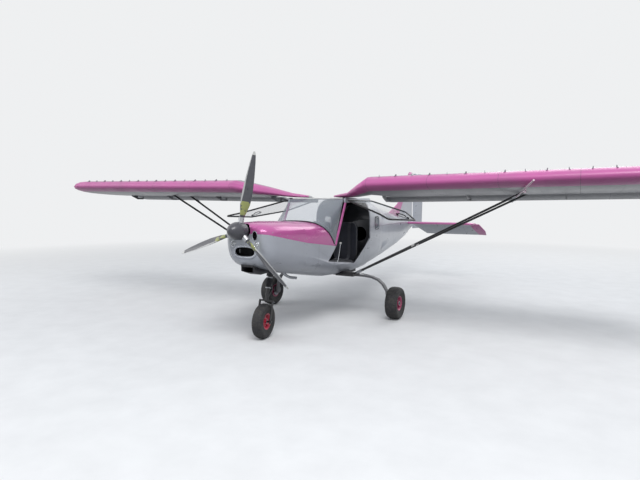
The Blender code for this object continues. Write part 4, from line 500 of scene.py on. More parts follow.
def plain_finish(name, colour, roughness, metallic=0.0, grain=6.0, spread=0.12, wave=0.0004,
                 coat=0.0, specular=0.5, fine=90.0):
    """A finish whose colour drifts a little, with dull patches and a fine uneven surface."""
    n = Nodes(name)
    drift = n.remap(n.noise(grain, 5.0, 0.6), 0.3, 0.7, 0.0, 1.0)
    tone = n.mix(drift, shaded(colour, 1 - spread), shaded(colour, 1 + spread / 2))
    rough = n.remap(n.noise(grain * 3.1, 4.0), 0.3, 0.7, max(0.02, roughness - 0.06), roughness + 0.08)
    height = n.noise(fine, 3.0)
    n.set(Base_Color=tone, Roughness=rough, Normal=n.bump(height, 0.25, wave))
    return n.set(Metallic=metallic, Coat_Weight=coat, Coat_Roughness=0.08, Specular_IOR_Level=specular)


def lines_at(n, coordinate, places, half=SEAM_HALF):
    """1 on thin seams at any of the places along one coordinate."""
    return n.either(*[n.within(coordinate, place, half) for place in places])


def sheet_finish(name, colour, lines=None, other=None, where=None, roughness=0.30, metallic=0.22,
                 shade_inside=False, coat=0.35):
    """Painted sheet: drift and streaks, dark seams, a second colour, and painted shade, dark grey, on the
    faces inside.
    """
    n = Nodes(name)
    x, y, z = n.axes()
    drift = n.remap(n.noise(2.2, 5.0, 0.6), 0.3, 0.7, 0.0, 1.0)
    base = n.mix(drift, shaded(colour, 0.93), shaded(colour, 1.04))
    if other is not None:
        second = n.mix(drift, shaded(other, 0.92), shaded(other, 1.05))
        base = n.mix(where(n, x, y, z), base, second)
    waves = n.bump(n.noise(3.2, 3.0), 0.16, 0.006)
    waves = n.bump(n.noise(120.0, 2.0), 0.10, 0.0003, waves)
    grime = n.remap(n.noise(2.6, 3.0, 0.5, (1.0, 0.4, 1.6)), 0.42, 0.78, 0.0, 0.16)
    base = n.mix(grime, base, shaded(colour, 0.74))
    if lines is not None:
        seam = lines(n, x, y, z)
        base = n.mix(n.math("MULTIPLY", seam, 0.8), base, linear(48, 48, 54))
        waves = n.bump(n.math("SUBTRACT", 1.0, seam), 0.7, 0.0015, waves)
    streaks = n.noise(7.0, 6.0, 0.65, (1.0, 0.25, 1.0))
    rough = n.remap(streaks, 0.3, 0.75, roughness - 0.06, roughness + 0.12)
    if shade_inside:
        inside = n.add("ShaderNodeAttribute")
        inside.attribute_name = "inward_shade_mark"
        inside = inside.outputs["Fac"]
        # Painted shade: faces that look into the fuselage are coloured dark grey with a fine grain, for the
        # shade inside it
        inside_shade = n.mix(n.noise(60.0, 5.0), linear(34, 36, 42), linear(56, 58, 66))
        base = n.mix(inside, base, inside_shade)
        rough = n.math("MAXIMUM", rough, n.math("MULTIPLY", inside, 0.85))
    n.set(Base_Color=base, Roughness=rough, Normal=waves)
    return n.set(Metallic=metallic, Coat_Weight=coat, Coat_Roughness=0.12)


MAGENTA = linear(192, 94, 158)
SILVER = linear(176, 180, 189)
# Wing grey: partly the wings' own grey, partly painted shade, made darker for the shaded undersides, which
# darkens the tops too
WING_GREY = linear(146, 147, 151)
BLACK = linear(30, 30, 33)


def wing_edge(n, x, y, z):
    """1 on the wing's magenta nose, which follows the swept root to the roof, and its tips."""
    out = n.math("ABSOLUTE", x)
    nose = n.remap(out, WING_ROOT, WING_CRANK, ROOT_NOSE, WING_NOSE)
    wide = n.remap(out, ROOT_BAND_OUT, WING_CRANK, ROOT_BAND, NOSE_BAND)
    front = n.math("LESS_THAN", n.math("SUBTRACT", y, nose), wide)
    return n.either(front, n.math("GREATER_THAN", out, WING_TIP_BAND))


def wing_lines(n, x, y, z):
    """Skin joints of the wing: every second rib, and the joint behind the front spar."""
    out = n.math("ABSOLUTE", x)
    spar = n.both(lines_at(n, y, (FRONT_SPAR,)), n.math("GREATER_THAN", out, 0.9))
    return n.either(lines_at(n, out, WING_SEAMS), spar)


def flap_lines(n, x, y, z):
    """Skin joints of a flaperon."""
    return lines_at(n, n.math("ABSOLUTE", x), FLAPERON_SEAMS)


def stab_edge(n, x, y, z):
    """1 on the magenta nose and tips of the tailplane."""
    nose = n.math("LESS_THAN", y, TAILPLANE_BAND)
    return n.either(nose, n.math("GREATER_THAN", n.math("ABSOLUTE", x), TAILPLANE_TIP_BAND))


def elevator_tip(n, x, y, z):
    """1 on the elevator's magenta tips, which start on a slant."""
    slant = n.math("MULTIPLY", n.math("SUBTRACT", y, ELEVATOR_BAND_FROM), ELEVATOR_BAND_LEAN)
    out = n.math("SUBTRACT", n.math("ABSOLUTE", x), slant)
    return n.math("GREATER_THAN", out, ELEVATOR_TIP_BAND)


def fin_front(n, x, y, z):
    """1 on the fin's magenta front, ahead of a line that leans with its leading edge."""
    lean = n.math("MULTIPLY", n.math("SUBTRACT", z, FIN_BAND_LEVEL), FIN_BAND_LEAN)
    return n.math("LESS_THAN", n.math("SUBTRACT", y, lean), FIN_BAND)


def rear_lines(n, x, y, z):
    """Frames and the long side crease of the rear fuselage."""
    rings = lines_at(n, y, (-0.10, 0.10, *TAIL_FRAMES))
    crease = n.both(n.within(z, CREASE_LEVEL, CREASE_HALF), n.math("GREATER_THAN", y, CREASE_FROM))
    return n.either(rings, crease)


def tub_lines(n, x, y, z):
    """Frames of the cabin's lower skin."""
    return lines_at(n, y, CABIN_FRAMES)


def tail_lines(n, x, y, z):
    """Ribs of the tailplane and elevator."""
    return lines_at(n, n.math("ABSOLUTE", x), TAILPLANE_SEAMS, TAIL_SEAM_HALF)


def rudder_lines(n, x, y, z):
    """Ribs of the fin and rudder."""
    return lines_at(n, z, FIN_SEAMS, TAIL_SEAM_HALF)


def glass_finish(name, tint, alpha, roughness=0.02):
    """Thin clear panel, mostly see-through, with faint haze and fine scratches."""
    n = Nodes(name)
    haze = n.noise(9.0, 5.0, 0.6)
    rough = n.remap(haze, 0.35, 0.7, roughness, roughness + 0.05)
    n.set(Base_Color=n.mix(haze, shaded(tint, 0.9), tint), Roughness=rough)
    n.set(Normal=n.bump(n.noise(5.0, 2.0), 0.05, 0.002))
    n.material.surface_render_method = "BLENDED"
    return n.set(Alpha=alpha, Specular_IOR_Level=0.9)


def rubber_finish():
    """Black rubber, greyed by dust on the tread and sidewalls."""
    n = Nodes("tyre_rubber_fine")
    dust = n.remap(n.noise(22.0, 6.0, 0.7), 0.45, 0.75, 0.0, 1.0)
    n.set(Base_Color=n.mix(dust, linear(38, 38, 41), linear(80, 78, 74)))
    n.set(Roughness=n.remap(dust, 0.0, 1.0, 0.62, 0.9))
    return n.set(Normal=n.bump(n.noise(260.0, 3.0), 0.35, 0.0006))


def cloth_finish(name, colour, pitch=1900.0):
    """Woven cloth: two crossed waves for the weave over a soft drift of colour."""
    n = Nodes(name)
    x, y, z = n.axes()
    warp = n.math("SINE", n.math("MULTIPLY", n.math("ADD", x, n.math("MULTIPLY", z, 0.35)), pitch))
    weft = n.math("SINE", n.math("MULTIPLY", n.math("ADD", y, z), pitch))
    weave = n.math("MULTIPLY", warp, weft)
    drift = n.noise(14.0, 4.0)
    share = n.math("ADD", n.math("MULTIPLY", weave, 0.18), drift, clamp=True)
    n.set(Base_Color=n.mix(share, shaded(colour, 0.65), shaded(colour, 1.3)))
    n.set(Normal=n.bump(weave, 0.4, 0.0006), Roughness=n.remap(drift, 0.3, 0.7, 0.8, 0.95))
    return n.set(Sheen_Weight=0.3)


def brushed_finish(name, colour, roughness=0.3, stretch=(1, 14, 14)):
    """Bare metal with fine brush lines along one axis."""
    n = Nodes(name)
    brush = n.noise(70.0, 4.0, 0.6, stretch)
    n.set(Base_Color=n.mix(brush, shaded(colour, 0.8), shaded(colour, 1.1)))
    n.set(Roughness=n.remap(brush, 0.3, 0.7, roughness - 0.08, roughness + 0.12))
    n.set(Normal=n.bump(brush, 0.2, 0.0003))
    return n.set(Metallic=1.0)


def strut_finish():
    """Black painted struts with a white band a little way up from the belly bracket."""
    n = Nodes("strut_paint")
    x = n.axes()[0]
    band = n.within(n.math("ABSOLUTE", x), STRUT_BAND, STRUT_BAND_HALF)
    wear = n.noise(30.0, 5.0)
    dark = n.mix(wear, linear(22, 22, 25), linear(46, 46, 50))
    n.set(Base_Color=n.mix(band, dark, linear(220, 220, 216)))
    n.set(Roughness=n.remap(wear, 0.3, 0.7, 0.32, 0.48), Normal=n.bump(n.noise(150.0), 0.15, 0.0003))
    return n.material


def from_hub(n, x, z):
    """Distance from the thrust line in the propeller's plane."""
    rise = n.math("SUBTRACT", z, HUB.z)
    return n.math("SQRT", n.math("ADD", n.math("POWER", x, 2.0), n.math("POWER", rise, 2.0)))


def blade_finish():
    """Dark composite blade: pale tip, thin pale nose, yellow-green band over the root."""
    n = Nodes("blade_composite")
    x, _, z = n.axes()
    span = from_hub(n, x, z)
    tip = n.math("GREATER_THAN", span, BLADE_TIP_BAND)
    root = n.within(span, BLADE_ROOT_BAND, BLADE_ROOT_HALF)
    patch = n.both(root, n.math("GREATER_THAN", n.noise(16.0, 3.0), 0.44))
    wear = n.noise(18.0, 5.0)
    dark = n.mix(wear, linear(56, 57, 63), linear(84, 85, 92))
    colour = n.mix(tip, dark, linear(200, 201, 198))
    colour = n.mix(n.math("MULTIPLY", patch, 0.75), colour, linear(168, 174, 96))
    mark = n.add("ShaderNodeAttribute")
    mark.attribute_name = "behind_nose"
    ahead = n.math("LESS_THAN", mark.outputs["Fac"], GUARD_SHARE)
    guard = n.both(ahead, n.math("GREATER_THAN", span, GUARD_FROM))
    colour = n.mix(n.math("MULTIPLY", guard, 0.85), colour, linear(196, 197, 196))
    n.set(Base_Color=colour, Roughness=n.remap(wear, 0.3, 0.7, 0.26, 0.42))
    return n.set(Normal=n.bump(n.noise(200.0), 0.15, 0.0003), Coat_Weight=0.4)


def hub_finish():
    """Dark spinner skirt round the hub, with bare blade clamps beyond it."""
    n = Nodes("hub_metal")
    x, _, z = n.axes()
    clamp = n.math("GREATER_THAN", from_hub(n, x, z), SKIRT_RADIUS)
    wear = n.noise(40.0, 5.0)
    dark = n.mix(wear, linear(60, 60, 66), linear(80, 80, 87))
    bare = n.mix(wear, linear(146, 147, 150), linear(196, 197, 200))
    n.set(Base_Color=n.mix(clamp, dark, bare), Metallic=n.math("MULTIPLY", clamp, 0.9))
    n.set(Roughness=n.remap(wear, 0.3, 0.7, 0.30, 0.45))
    return n.set(Normal=n.bump(n.noise(180.0), 0.15, 0.0003))


def mesh_finish():
    """Dark cooling matrix: fine crossed fins, with painted shadow between them, where the colour turns near
    black.
    """
    n = Nodes("cooling_matrix")
    x, _, z = n.axes()
    across = n.math("SINE", n.math("MULTIPLY", x, 1500.0))
    down = n.math("SINE", n.math("MULTIPLY", z, 620.0))
    fins = n.math("MAXIMUM", across, down)
    share = n.remap(fins, -0.2, 0.9, 0.0, 1.0)
    # Painted shadow: near black between the fins, dark grey on them
    n.set(Base_Color=n.mix(share, linear(10, 10, 12), linear(66, 66, 70)), Roughness=0.55)
    return n.set(Normal=n.bump(share, 0.8, 0.002), Metallic=0.5)


FINISH = {}


def finishes():
    """Makes each finish once."""
    if FINISH:
        return FINISH
    paint = tuple(settings().paint_colour)
    skin = tuple(settings().skin_colour)
    wing = tuple(settings().wing_colour)
    FINISH["magenta"] = sheet_finish("magenta_paint_fine", paint, roughness=0.24, metallic=0.10)
    FINISH["cowl"] = sheet_finish("silver_paint_fine", skin, shade_inside=True)
    FINISH["magenta_cowl"] = sheet_finish(
        "magenta_cowl_paint", paint, roughness=0.20, metallic=0.10, shade_inside=True
    )
    FINISH["tub"] = sheet_finish("tub_skin_paint", skin, tub_lines, shade_inside=True)
    FINISH["roof"] = sheet_finish("roof_skin_paint", skin, shade_inside=True)
    FINISH["rear"] = sheet_finish("rear_skin_paint", skin, rear_lines, shade_inside=True)
    FINISH["wing"] = sheet_finish(
        "wing_skin_paint", wing, wing_lines, paint, wing_edge, roughness=0.40, metallic=0.0, coat=0.12
    )
    FINISH["flap"] = sheet_finish(
        "flaperon_skin_paint", wing, flap_lines, roughness=0.45, metallic=0.0, coat=0.05
    )
    FINISH["stab"] = sheet_finish("stab_skin_paint", skin, tail_lines, paint, stab_edge)
    FINISH["elevator"] = sheet_finish("elevator_skin_paint", skin, tail_lines, paint, elevator_tip)
    FINISH["fin"] = sheet_finish("fin_skin_paint", skin, rudder_lines, paint, fin_front)
    FINISH["rudder"] = sheet_finish("rudder_skin_paint", skin, rudder_lines)
    FINISH["black"] = plain_finish("black_paint_fine", BLACK, 0.38, fine=160.0)
    FINISH["plastic"] = plain_finish("black_plastic_fine", linear(42, 42, 46), 0.55, fine=240.0)
    FINISH["spinner"] = plain_finish("spinner_paint", linear(70, 70, 77), 0.34, spread=0.08, coat=0.25)
    FINISH["strut"] = strut_finish()
    FINISH["blade"] = blade_finish()
    FINISH["hub"] = hub_finish()
    FINISH["matrix"] = mesh_finish()
    FINISH["bare"] = brushed_finish("bare_metal_fine", linear(150, 152, 157), 0.34)
    FINISH["chrome"] = plain_finish("bright_chrome", linear(222, 224, 228), 0.08, 1.0, spread=0.04)
    FINISH["rubber"] = rubber_finish()
    FINISH["glass"] = glass_finish("clear_door_panel", linear(150, 166, 178), 0.20)
    FINISH["screen"] = glass_finish("clear_screen_panel", linear(176, 184, 194), 0.34)
    FINISH["lens"] = glass_finish("lamp_lens_glass", linear(236, 240, 244), 0.30)
    FINISH["cloth"] = cloth_finish("seat_cloth_fine", linear(44, 47, 58))
    FINISH["webbing"] = cloth_finish("belt_webbing", linear(58, 60, 68), 900.0)
    FINISH["iron"] = plain_finish("engine_casting", linear(70, 70, 72), 0.6, 0.5, grain=20.0)
    FINISH["rim"] = sheet_finish("rim_paint", linear(172, 70, 108), roughness=0.32, metallic=0.2)
    FINISH["nose_rim"] = sheet_finish("nose_rim_paint", linear(196, 52, 78), roughness=0.30, metallic=0.2)
    FINISH["grey"] = plain_finish("warm_grey_paint", linear(120, 120, 124), 0.5)
    FINISH["white"] = plain_finish("white_plastic", linear(228, 228, 224), 0.45)
    FINISH["probe"] = plain_finish("pale_probe_paint", linear(224, 200, 212), 0.35)
    FINISH["seal"] = plain_finish("dark_seal_rubber", linear(30, 30, 34), 0.7, fine=300.0)
    FINISH["cord"] = plain_finish("shock_cord_cloth", linear(44, 44, 48), 0.85, fine=500.0, wave=0.001)
    FINISH["plain"] = plain_finish("rivet_paint", shaded(skin, 0.92), 0.35, 0.2, spread=0.06)
    FINISH["plain_wing"] = plain_finish("wing_rivet_paint", shaded(wing, 0.92), 0.38, 0.2, spread=0.06)
    FINISH["bright"] = plain_finish("polished_lip", linear(176, 180, 188), 0.24, 0.5, spread=0.06)
    FINISH["dial"] = plain_finish("dial_face_paint", linear(214, 214, 208), 0.6, grain=30.0)
    return FINISH


# Places on the solids


def node_points(node):
    """A solid's points as an array."""
    mesh = frame["nodes"][node].data
    points = np.empty(len(mesh.vertices) * 3)
    mesh.vertices.foreach_get("co", points)
    return points.reshape(-1, 3)


def node_faces(node):
    """A solid's triangles as an array of point numbers."""
    mesh = frame["nodes"][node].data
    corners = np.empty(len(mesh.loops), dtype=int)
    mesh.loops.foreach_get("vertex_index", corners)
    return corners.reshape(-1, 3)


def skin_tree(*nodes):
    """A search tree over some solids, for setting small pieces on their skins."""
    points = [node_points(node) for node in nodes]
    starts = np.cumsum([0, *[len(p) for p in points[:-1]]])
    faces = [node_faces(node) + start for node, start in zip(nodes, starts)]
    return BVHTree.FromPolygons(np.vstack(points).tolist(), np.vstack(faces).tolist())


def seated(tree, starts, way, lift=0.0):
    """Where rays meet a skin: places lifted along the normals, and the rows i, j, k of each frame."""
    way = Vector(way).normalized()
    places, bases = [], []
    for start in np.asarray(starts, float).tolist():
        place, normal, _, _ = tree.ray_cast(Vector(start), way)
        if place is None or abs(normal.dot(way)) < 0.2:
            continue
        normal = normal if normal.dot(way) < 0 else -normal
        rows = basis_of(normal)
        places.append(place + normal * lift)
        bases.append(rows)
    return np.array(places).reshape(-1, 3), np.array(bases).reshape(-1, 3, 3)


def hoop(tree, station, centre, pitch):
    """Places round a skin at a station, evenly spaced along it: rays in, then even steps of length."""
    places, bases = [], []
    for turn in np.linspace(-math.pi, math.pi, HOOP_RAYS, endpoint=False):
        way = Vector((math.cos(turn), 0.0, math.sin(turn)))
        start = Vector((0.0, station, centre)) + way * RAY_REACH
        place, normal, _, _ = tree.ray_cast(start, -way)
        if place is None:
            continue
        places.append(place)
        bases.append(basis_of(normal if normal.dot(way) > 0 else -normal))
    places, bases = np.array(places), np.array(bases)
    if len(places) < 2:
        return places.reshape(-1, 3), bases.reshape(-1, 3, 3)
    steps = np.linalg.norm(np.diff(places, axis=0), axis=1)
    run = np.concatenate([[0.0], np.cumsum(np.where(steps < 0.1, steps, 0.0))])
    picked = np.unique(np.searchsorted(run, np.arange(0.0, run[-1], pitch)))
    return places[picked], bases[picked]


def joined(groups):
    """Groups of places and frames as one."""
    groups = [group for group in groups if len(group[0])]
    return np.vstack([g[0] for g in groups]), np.vstack([g[1] for g in groups])


def rivets(name, groups, body, material, size=None, shape=None):
    """Domed heads at all the places of some groups."""
    places, bases = joined(groups)
    points, faces = shape or dome(6)
    size = size or settings().rivet_radius
    return scattered(name, points, faces, places, bases, size, body, material)


def row(first, last, pitch):
    """Evenly spaced points from one place to another, about a pitch apart."""
    first, last = np.asarray(first, float), np.asarray(last, float)
    count = max(2, int(round(np.linalg.norm(last - first) / pitch)) + 1)
    return first + (last - first) * np.linspace(0, 1, count)[:, None]


def hexagon(height=0.7):
    """A six-sided bolt head of unit radius with a chamfered top, as points and faces."""
    turn = np.linspace(0, TAU, 6, endpoint=False)
    rim = np.stack([np.cos(turn), np.sin(turn), np.zeros(6)], axis=1)
    points = np.vstack([rim - (0, 0, 0.2), rim + (0, 0, height * 0.8), rim * 0.82 + (0, 0, height)])
    here, there = np.arange(6), (np.arange(6) + 1) % 6
    faces = [list(range(5, -1, -1)), list(range(12, 18))]
    for level in (0, 6):
        ring = [here + level, there + level, there + level + 6, here + level + 6]
        faces += np.stack(ring, axis=1).tolist()
    return points, faces


# Operators


class ULTRALIGHT_settings(bpy.types.PropertyGroup):
    """What a user would change"""

    paint_colour: FloatVectorProperty(
        name="Nose paint", description="Colour of the upper cowl, wing noses and tail edges",
        subtype="COLOR", size=4, min=0, max=1, default=MAGENTA,
    )
    skin_colour: FloatVectorProperty(
        name="Skin paint", description="Colour of the fuselage and tail",
        subtype="COLOR", size=4, min=0, max=1, default=SILVER,
    )
    wing_colour: FloatVectorProperty(
        name="Wing paint", description="Colour of the wings and flaperons",
        subtype="COLOR", size=4, min=0, max=1, default=WING_GREY,
    )
    rivet_radius: FloatProperty(
        name="Rivet radius", description="Radius of a rivet's head",
        default=0.0034, min=0.001, max=0.01, subtype="DISTANCE", unit="LENGTH",
    )
    rivet_pitch: FloatProperty(
        name="Rivet pitch", description="Distance between the rivets of a row",
        default=0.045, min=0.02, max=0.2, subtype="DISTANCE", unit="LENGTH",
    )
    tread_blocks: IntProperty(
        name="Tread blocks", description="Blocks round each tyre's shoulder",
        default=44, min=12, max=90,
    )
    generators: IntProperty(
        name="Vanes a wing", description="Vortex generators along each wing's nose",
        default=16, min=2, max=60,
    )
    floor_colour: FloatVectorProperty(
        name="Floor", description="Colour of the studio floor and background",
        subtype="COLOR", size=4, min=0, max=1, default=(0.86, 0.87, 0.88, 1.0),
    )


class ULTRALIGHT_OT_stage(bpy.types.Operator):
    """Make the studio floor, its light and the camera"""

    bl_idname = "ultralight.stage"
    bl_label = "Stage"

    def execute(self, context):
        scene = context.scene
        scene.view_settings.view_transform = "Standard"
        self.floor(scene)
        self.world(scene)
        for name, at, power, wide in LIGHTS:
            lamp = bpy.data.lights.new(name, "AREA")
            lamp.energy = power
            lamp.size = wide
            holder = bpy.data.objects.new(name, lamp)
            scene.collection.objects.link(holder)
            holder.location = at
            aim = LIT_POINT - Vector(at)
            holder.rotation_mode = "QUATERNION"
            holder.rotation_quaternion = aim.to_track_quat("-Z", "Y")
        place_camera(scene)
        return {"FINISHED"}

    def floor(self, scene):
        """A pale disc that fades into the background far out, and lights the belly as tarmac does."""
        pale = tuple(settings().floor_colour)
        n = Nodes("studio_floor")
        x, y, _ = n.axes()
        out = n.math("SQRT", n.math("ADD", n.math("POWER", x, 2.0), n.math("POWER", y, 2.0)))
        fade = n.remap(out, FADE_FROM, FADE_TO, 0.0, 1.0)
        grain = n.remap(n.noise(3.0, 6.0), 0.3, 0.7, 0.0, 1.0)
        n.set(Base_Color=n.mix(grain, shaded(pale, 0.86), shaded(pale, 0.92)), Roughness=0.7)
        n.set(Specular_IOR_Level=0.15)
        far = n.add("ShaderNodeEmission", Color=pale).outputs[0]
        dark = n.add("ShaderNodeBsdfDiffuse", Color=shaded(pale, 0.24)).outputs[0]
        path = n.add("ShaderNodeLightPath").outputs
        seen = n.either(path["Is Camera Ray"], path["Is Glossy Ray"], path["Is Transmission Ray"])
        shown = n.tree.nodes.new("ShaderNodeMixShader")
        for index, value in enumerate((fade, n.shader.outputs[0], far)):
            n.feed(shown.inputs[index], value)
        whole = n.tree.nodes.new("ShaderNodeMixShader")
        for index, value in enumerate((seen, dark, shown.outputs[0])):
            n.feed(whole.inputs[index], value)
        n.feed(n.tree.nodes["Material Output"].inputs["Surface"], whole.outputs[0])
        rim = np.linspace(0, TAU, FLOOR_SIDES, endpoint=False)
        points = np.stack([np.cos(rim), np.sin(rim), np.zeros(FLOOR_SIDES)], axis=1) * FLOOR_RADIUS
        mesh = bpy.data.meshes.new("studio_floor")
        mesh.from_pydata(points.tolist(), [], [list(range(FLOOR_SIDES))])
        mesh.materials.append(n.material)
        floor = bpy.data.objects.new("studio_floor", mesh)
        scene.collection.objects.link(floor)
        floor.location = (0, 0, -FLOOR_DROP)

    def world(self, scene):
        """The floor's colour where the background is seen, and a cool even light for all else."""
        world = bpy.data.worlds.new("studio")
        scene.world = world
        world.use_nodes = True
        tree = world.node_tree
        tree.nodes.clear()
        out = tree.nodes.new("ShaderNodeOutputWorld")
        seen = tree.nodes.new("ShaderNodeBackground")
        seen.inputs["Color"].default_value = settings().floor_colour
        lit = tree.nodes.new("ShaderNodeBackground")
        lit.inputs["Color"].default_value = SKY
        lit.inputs["Strength"].default_value = SKY_STRENGTH
        path = tree.nodes.new("ShaderNodeLightPath").outputs
        either = path["Is Camera Ray"]
        for kind in ("Is Glossy Ray", "Is Transmission Ray"):
            node = tree.nodes.new("ShaderNodeMath")
            node.operation = "MAXIMUM"
            tree.links.new(either, node.inputs[0])
            tree.links.new(path[kind], node.inputs[1])
            either = node.outputs[0]
        blend = tree.nodes.new("ShaderNodeMixShader")
        tree.links.new(either, blend.inputs[0])
        tree.links.new(lit.outputs[0], blend.inputs[1])
        tree.links.new(seen.outputs[0], blend.inputs[2])
        tree.links.new(blend.outputs[0], out.inputs[0])


def place_camera(scene):
    """Camera at the fitted place, its axes from yaw, pitch and roll."""
    yaw, pitch, roll = CAMERA_YAW, CAMERA_PITCH, CAMERA_ROLL
    look = Vector(
        (math.sin(yaw) * math.cos(pitch), math.cos(yaw) * math.cos(pitch), math.sin(pitch))
    )
    right = Vector((math.cos(yaw), -math.sin(yaw), 0))
    up = right.cross(look)
    turned_right = right * math.cos(roll) + up * math.sin(roll)
    turned_up = up * math.cos(roll) - right * math.sin(roll)
    camera = bpy.data.cameras.new("camera")
    camera.sensor_width = SENSOR
    camera.lens = CAMERA_LENS
    camera.clip_end = 300.0
    holder = bpy.data.objects.new("camera", camera)
    scene.collection.objects.link(holder)
    axes = Matrix((turned_right, turned_up, -look)).transposed()
    holder.matrix_world = Matrix.Translation(CAMERA_AT) @ axes.to_4x4()
    scene.camera = holder


class ULTRALIGHT_OT_skins(bpy.types.Operator):
    """Smooth the solids' skins and give each its finish"""

    bl_idname = "ultralight.skins"
    bl_label = "Skins"

    def execute(self, context):
        f = finishes()
        # Solid, finish, slot
        table = (
            ("cowl_upper", "magenta_cowl", "magenta_paint"),
            ("cowl_lower", "cowl", "silver_paint"),
            ("scuttle", "magenta_cowl", "magenta_paint"),
            ("cabin_tub", "tub", "silver_paint"),
            ("cabin_roof", "roof", "silver_paint"),
            ("rear_cabin", "rear", "silver_paint"),
            ("tail_cone", "rear", "silver_paint"),
            ("front_post_port", "magenta", "magenta_paint"),
            ("front_post_starboard", "magenta", "magenta_paint"),
            ("windscreen", "screen", "glass"),
            ("rear_window_port", "screen", "glass"),
            ("rear_window_starboard", "screen", "glass"),
            ("door_pane_port", "glass", "glass"),
            ("door_pane_starboard", "glass", "glass"),
            ("door_frame_port", "black", "black_paint"),
            ("door_frame_starboard", "black", "black_paint"),
            ("chin_scoop", "plastic", "black_plastic"),
            ("instrument_panel", "plastic", "black_plastic"),
            ("control_column", "plastic", "black_plastic"),
            ("firewall", "bare", "bare_metal"),
            ("engine_block", "iron", "engine_metal"),
            ("wing_port", "wing", "grey_skin"),
            ("wing_starboard", "wing", "grey_skin"),
            ("flaperon_port", "flap", "grey_skin"),
            ("flaperon_starboard", "flap", "grey_skin"),
            ("front_strut_port", "strut", "black_paint"),
            ("rear_strut_port", "strut", "black_paint"),
            ("front_strut_starboard", "strut", "black_paint"),
            ("rear_strut_starboard", "strut", "black_paint"),
            ("strut_bracket_port", "black", "black_paint"),
            ("strut_bracket_starboard", "black", "black_paint"),
            ("air_probe", "probe", "bare_metal"),
            ("main_gear_bow", "grey", "bare_metal"),
            ("nose_leg", "black", "black_paint"),
            ("nose_leg_socket", "plastic", "black_plastic"),
            ("stabiliser", "stab", "magenta_paint"),
            ("elevator", "elevator", "silver_paint"),
            ("fin", "fin", "magenta_paint"),
            ("rudder", "rudder", "silver_paint"),
            ("propeller_hub", "hub", "bare_metal"),
            ("propeller_shaft", "bare", "bare_metal"),
            ("propeller_blade_1", "blade", "black_plastic"),
            ("propeller_blade_2", "blade", "black_plastic"),
            ("propeller_blade_3", "blade", "black_plastic"),
            ("spinner", "spinner", "black_plastic"),
        )
        for node, finish, slot in table:
            piece = skin_of(node, f[finish])
            if finish in SHADED_INSIDE:
                self.line(piece.data)
            if finish == "blade":
                self.edge(piece.data, int(node[-1]) - 1)
        return {"FINISHED"}

    def edge(self, mesh, index):
        """Marks each point of a blade by its share of the chord behind the nose: (a - a0) / (a1 - a0)."""
        turn = BLADE_PHASE + index * TAU / 3
        points = np.empty(len(mesh.vertices) * 3)
        mesh.vertices.foreach_get("co", points)
        points = points.reshape(-1, 3) - np.array(HUB)
        out = np.array(HUB_UP) * math.cos(turn) + np.array((1.0, 0.0, 0.0)) * math.sin(turn)
        across = np.cross(np.array(THRUST), out)
        reach, away = np.round(points @ out, 3), points @ across
        level, which = np.unique(reach, return_inverse=True)
        first, last = np.full(len(level), np.inf), np.full(len(level), -np.inf)
        np.minimum.at(first, which, away)
        np.maximum.at(last, which, away)
        share = (away - first[which]) / np.maximum(last[which] - first[which], 1e-6)
        made = mesh.attributes.new("behind_nose", "FLOAT", "POINT")
        made.data.foreach_set("value", share)

    def line(self, mesh):
        """Marks faces that look in, which take painted shade: c n < -0.3 |c|, with c from the fuselage's
        middle line.
        """
        count = len(mesh.polygons)
        middle, normal = np.empty(count * 3), np.empty(count * 3)
        mesh.polygons.foreach_get("center", middle)
        mesh.polygons.foreach_get("normal", normal)
        middle = middle.reshape(-1, 3)[:, [0, 2]] - (0.0, INSIDE_SHADE_LEVEL)
        normal = normal.reshape(-1, 3)[:, [0, 2]]
        inward = (middle * normal).sum(axis=1) < -0.3 * np.linalg.norm(middle, axis=1)
        made = mesh.attributes.new("inward_shade_mark", "FLOAT", "FACE")
        made.data.foreach_set("value", inward.astype(float))


LIP_RADIUS = 0.0150
LIP_AHEAD = 0.002
RADIATOR_BACK = 0.085
RADIATOR_HALF = 0.126
RADIATOR_RISE = 0.045
RADIATOR_FINS = 46
FIN_SIZE = (0.0012, 0.022, 0.108)
TUBE_SIZE = (0.256, 0.018, 0.003)
TUBE_PITCH = 0.015
REFLECTOR_DEEP = 0.030
REFLECTOR_BACK = 0.022
EYE_RIM_RADIUS = 0.0045
EXHAUST_ROUTE = (
    (0.060, -2.420, 0.800),
    (0.085, -2.370, 0.735),
    (0.125, -2.325, 0.694),
    (0.215, -2.300, 0.686),
)
EXHAUST_RADIUS = 0.0165
EXHAUST_BORE = 0.0145
EXHAUST_CLAMP = 0.0185
STUD_RADIUS = 0.0052
STUD_PITCH = 0.105
STUD_DROP = 0.020
SPLIT_FRONT = 1.262
SPLIT_BACK = 1.150
SKIRT_SCREWS = 12
SKIRT_SCREW_REACH = 0.0975
CLAMP_BOLTS = (0.112, 0.138)
CLAMP_HALF = 0.0300


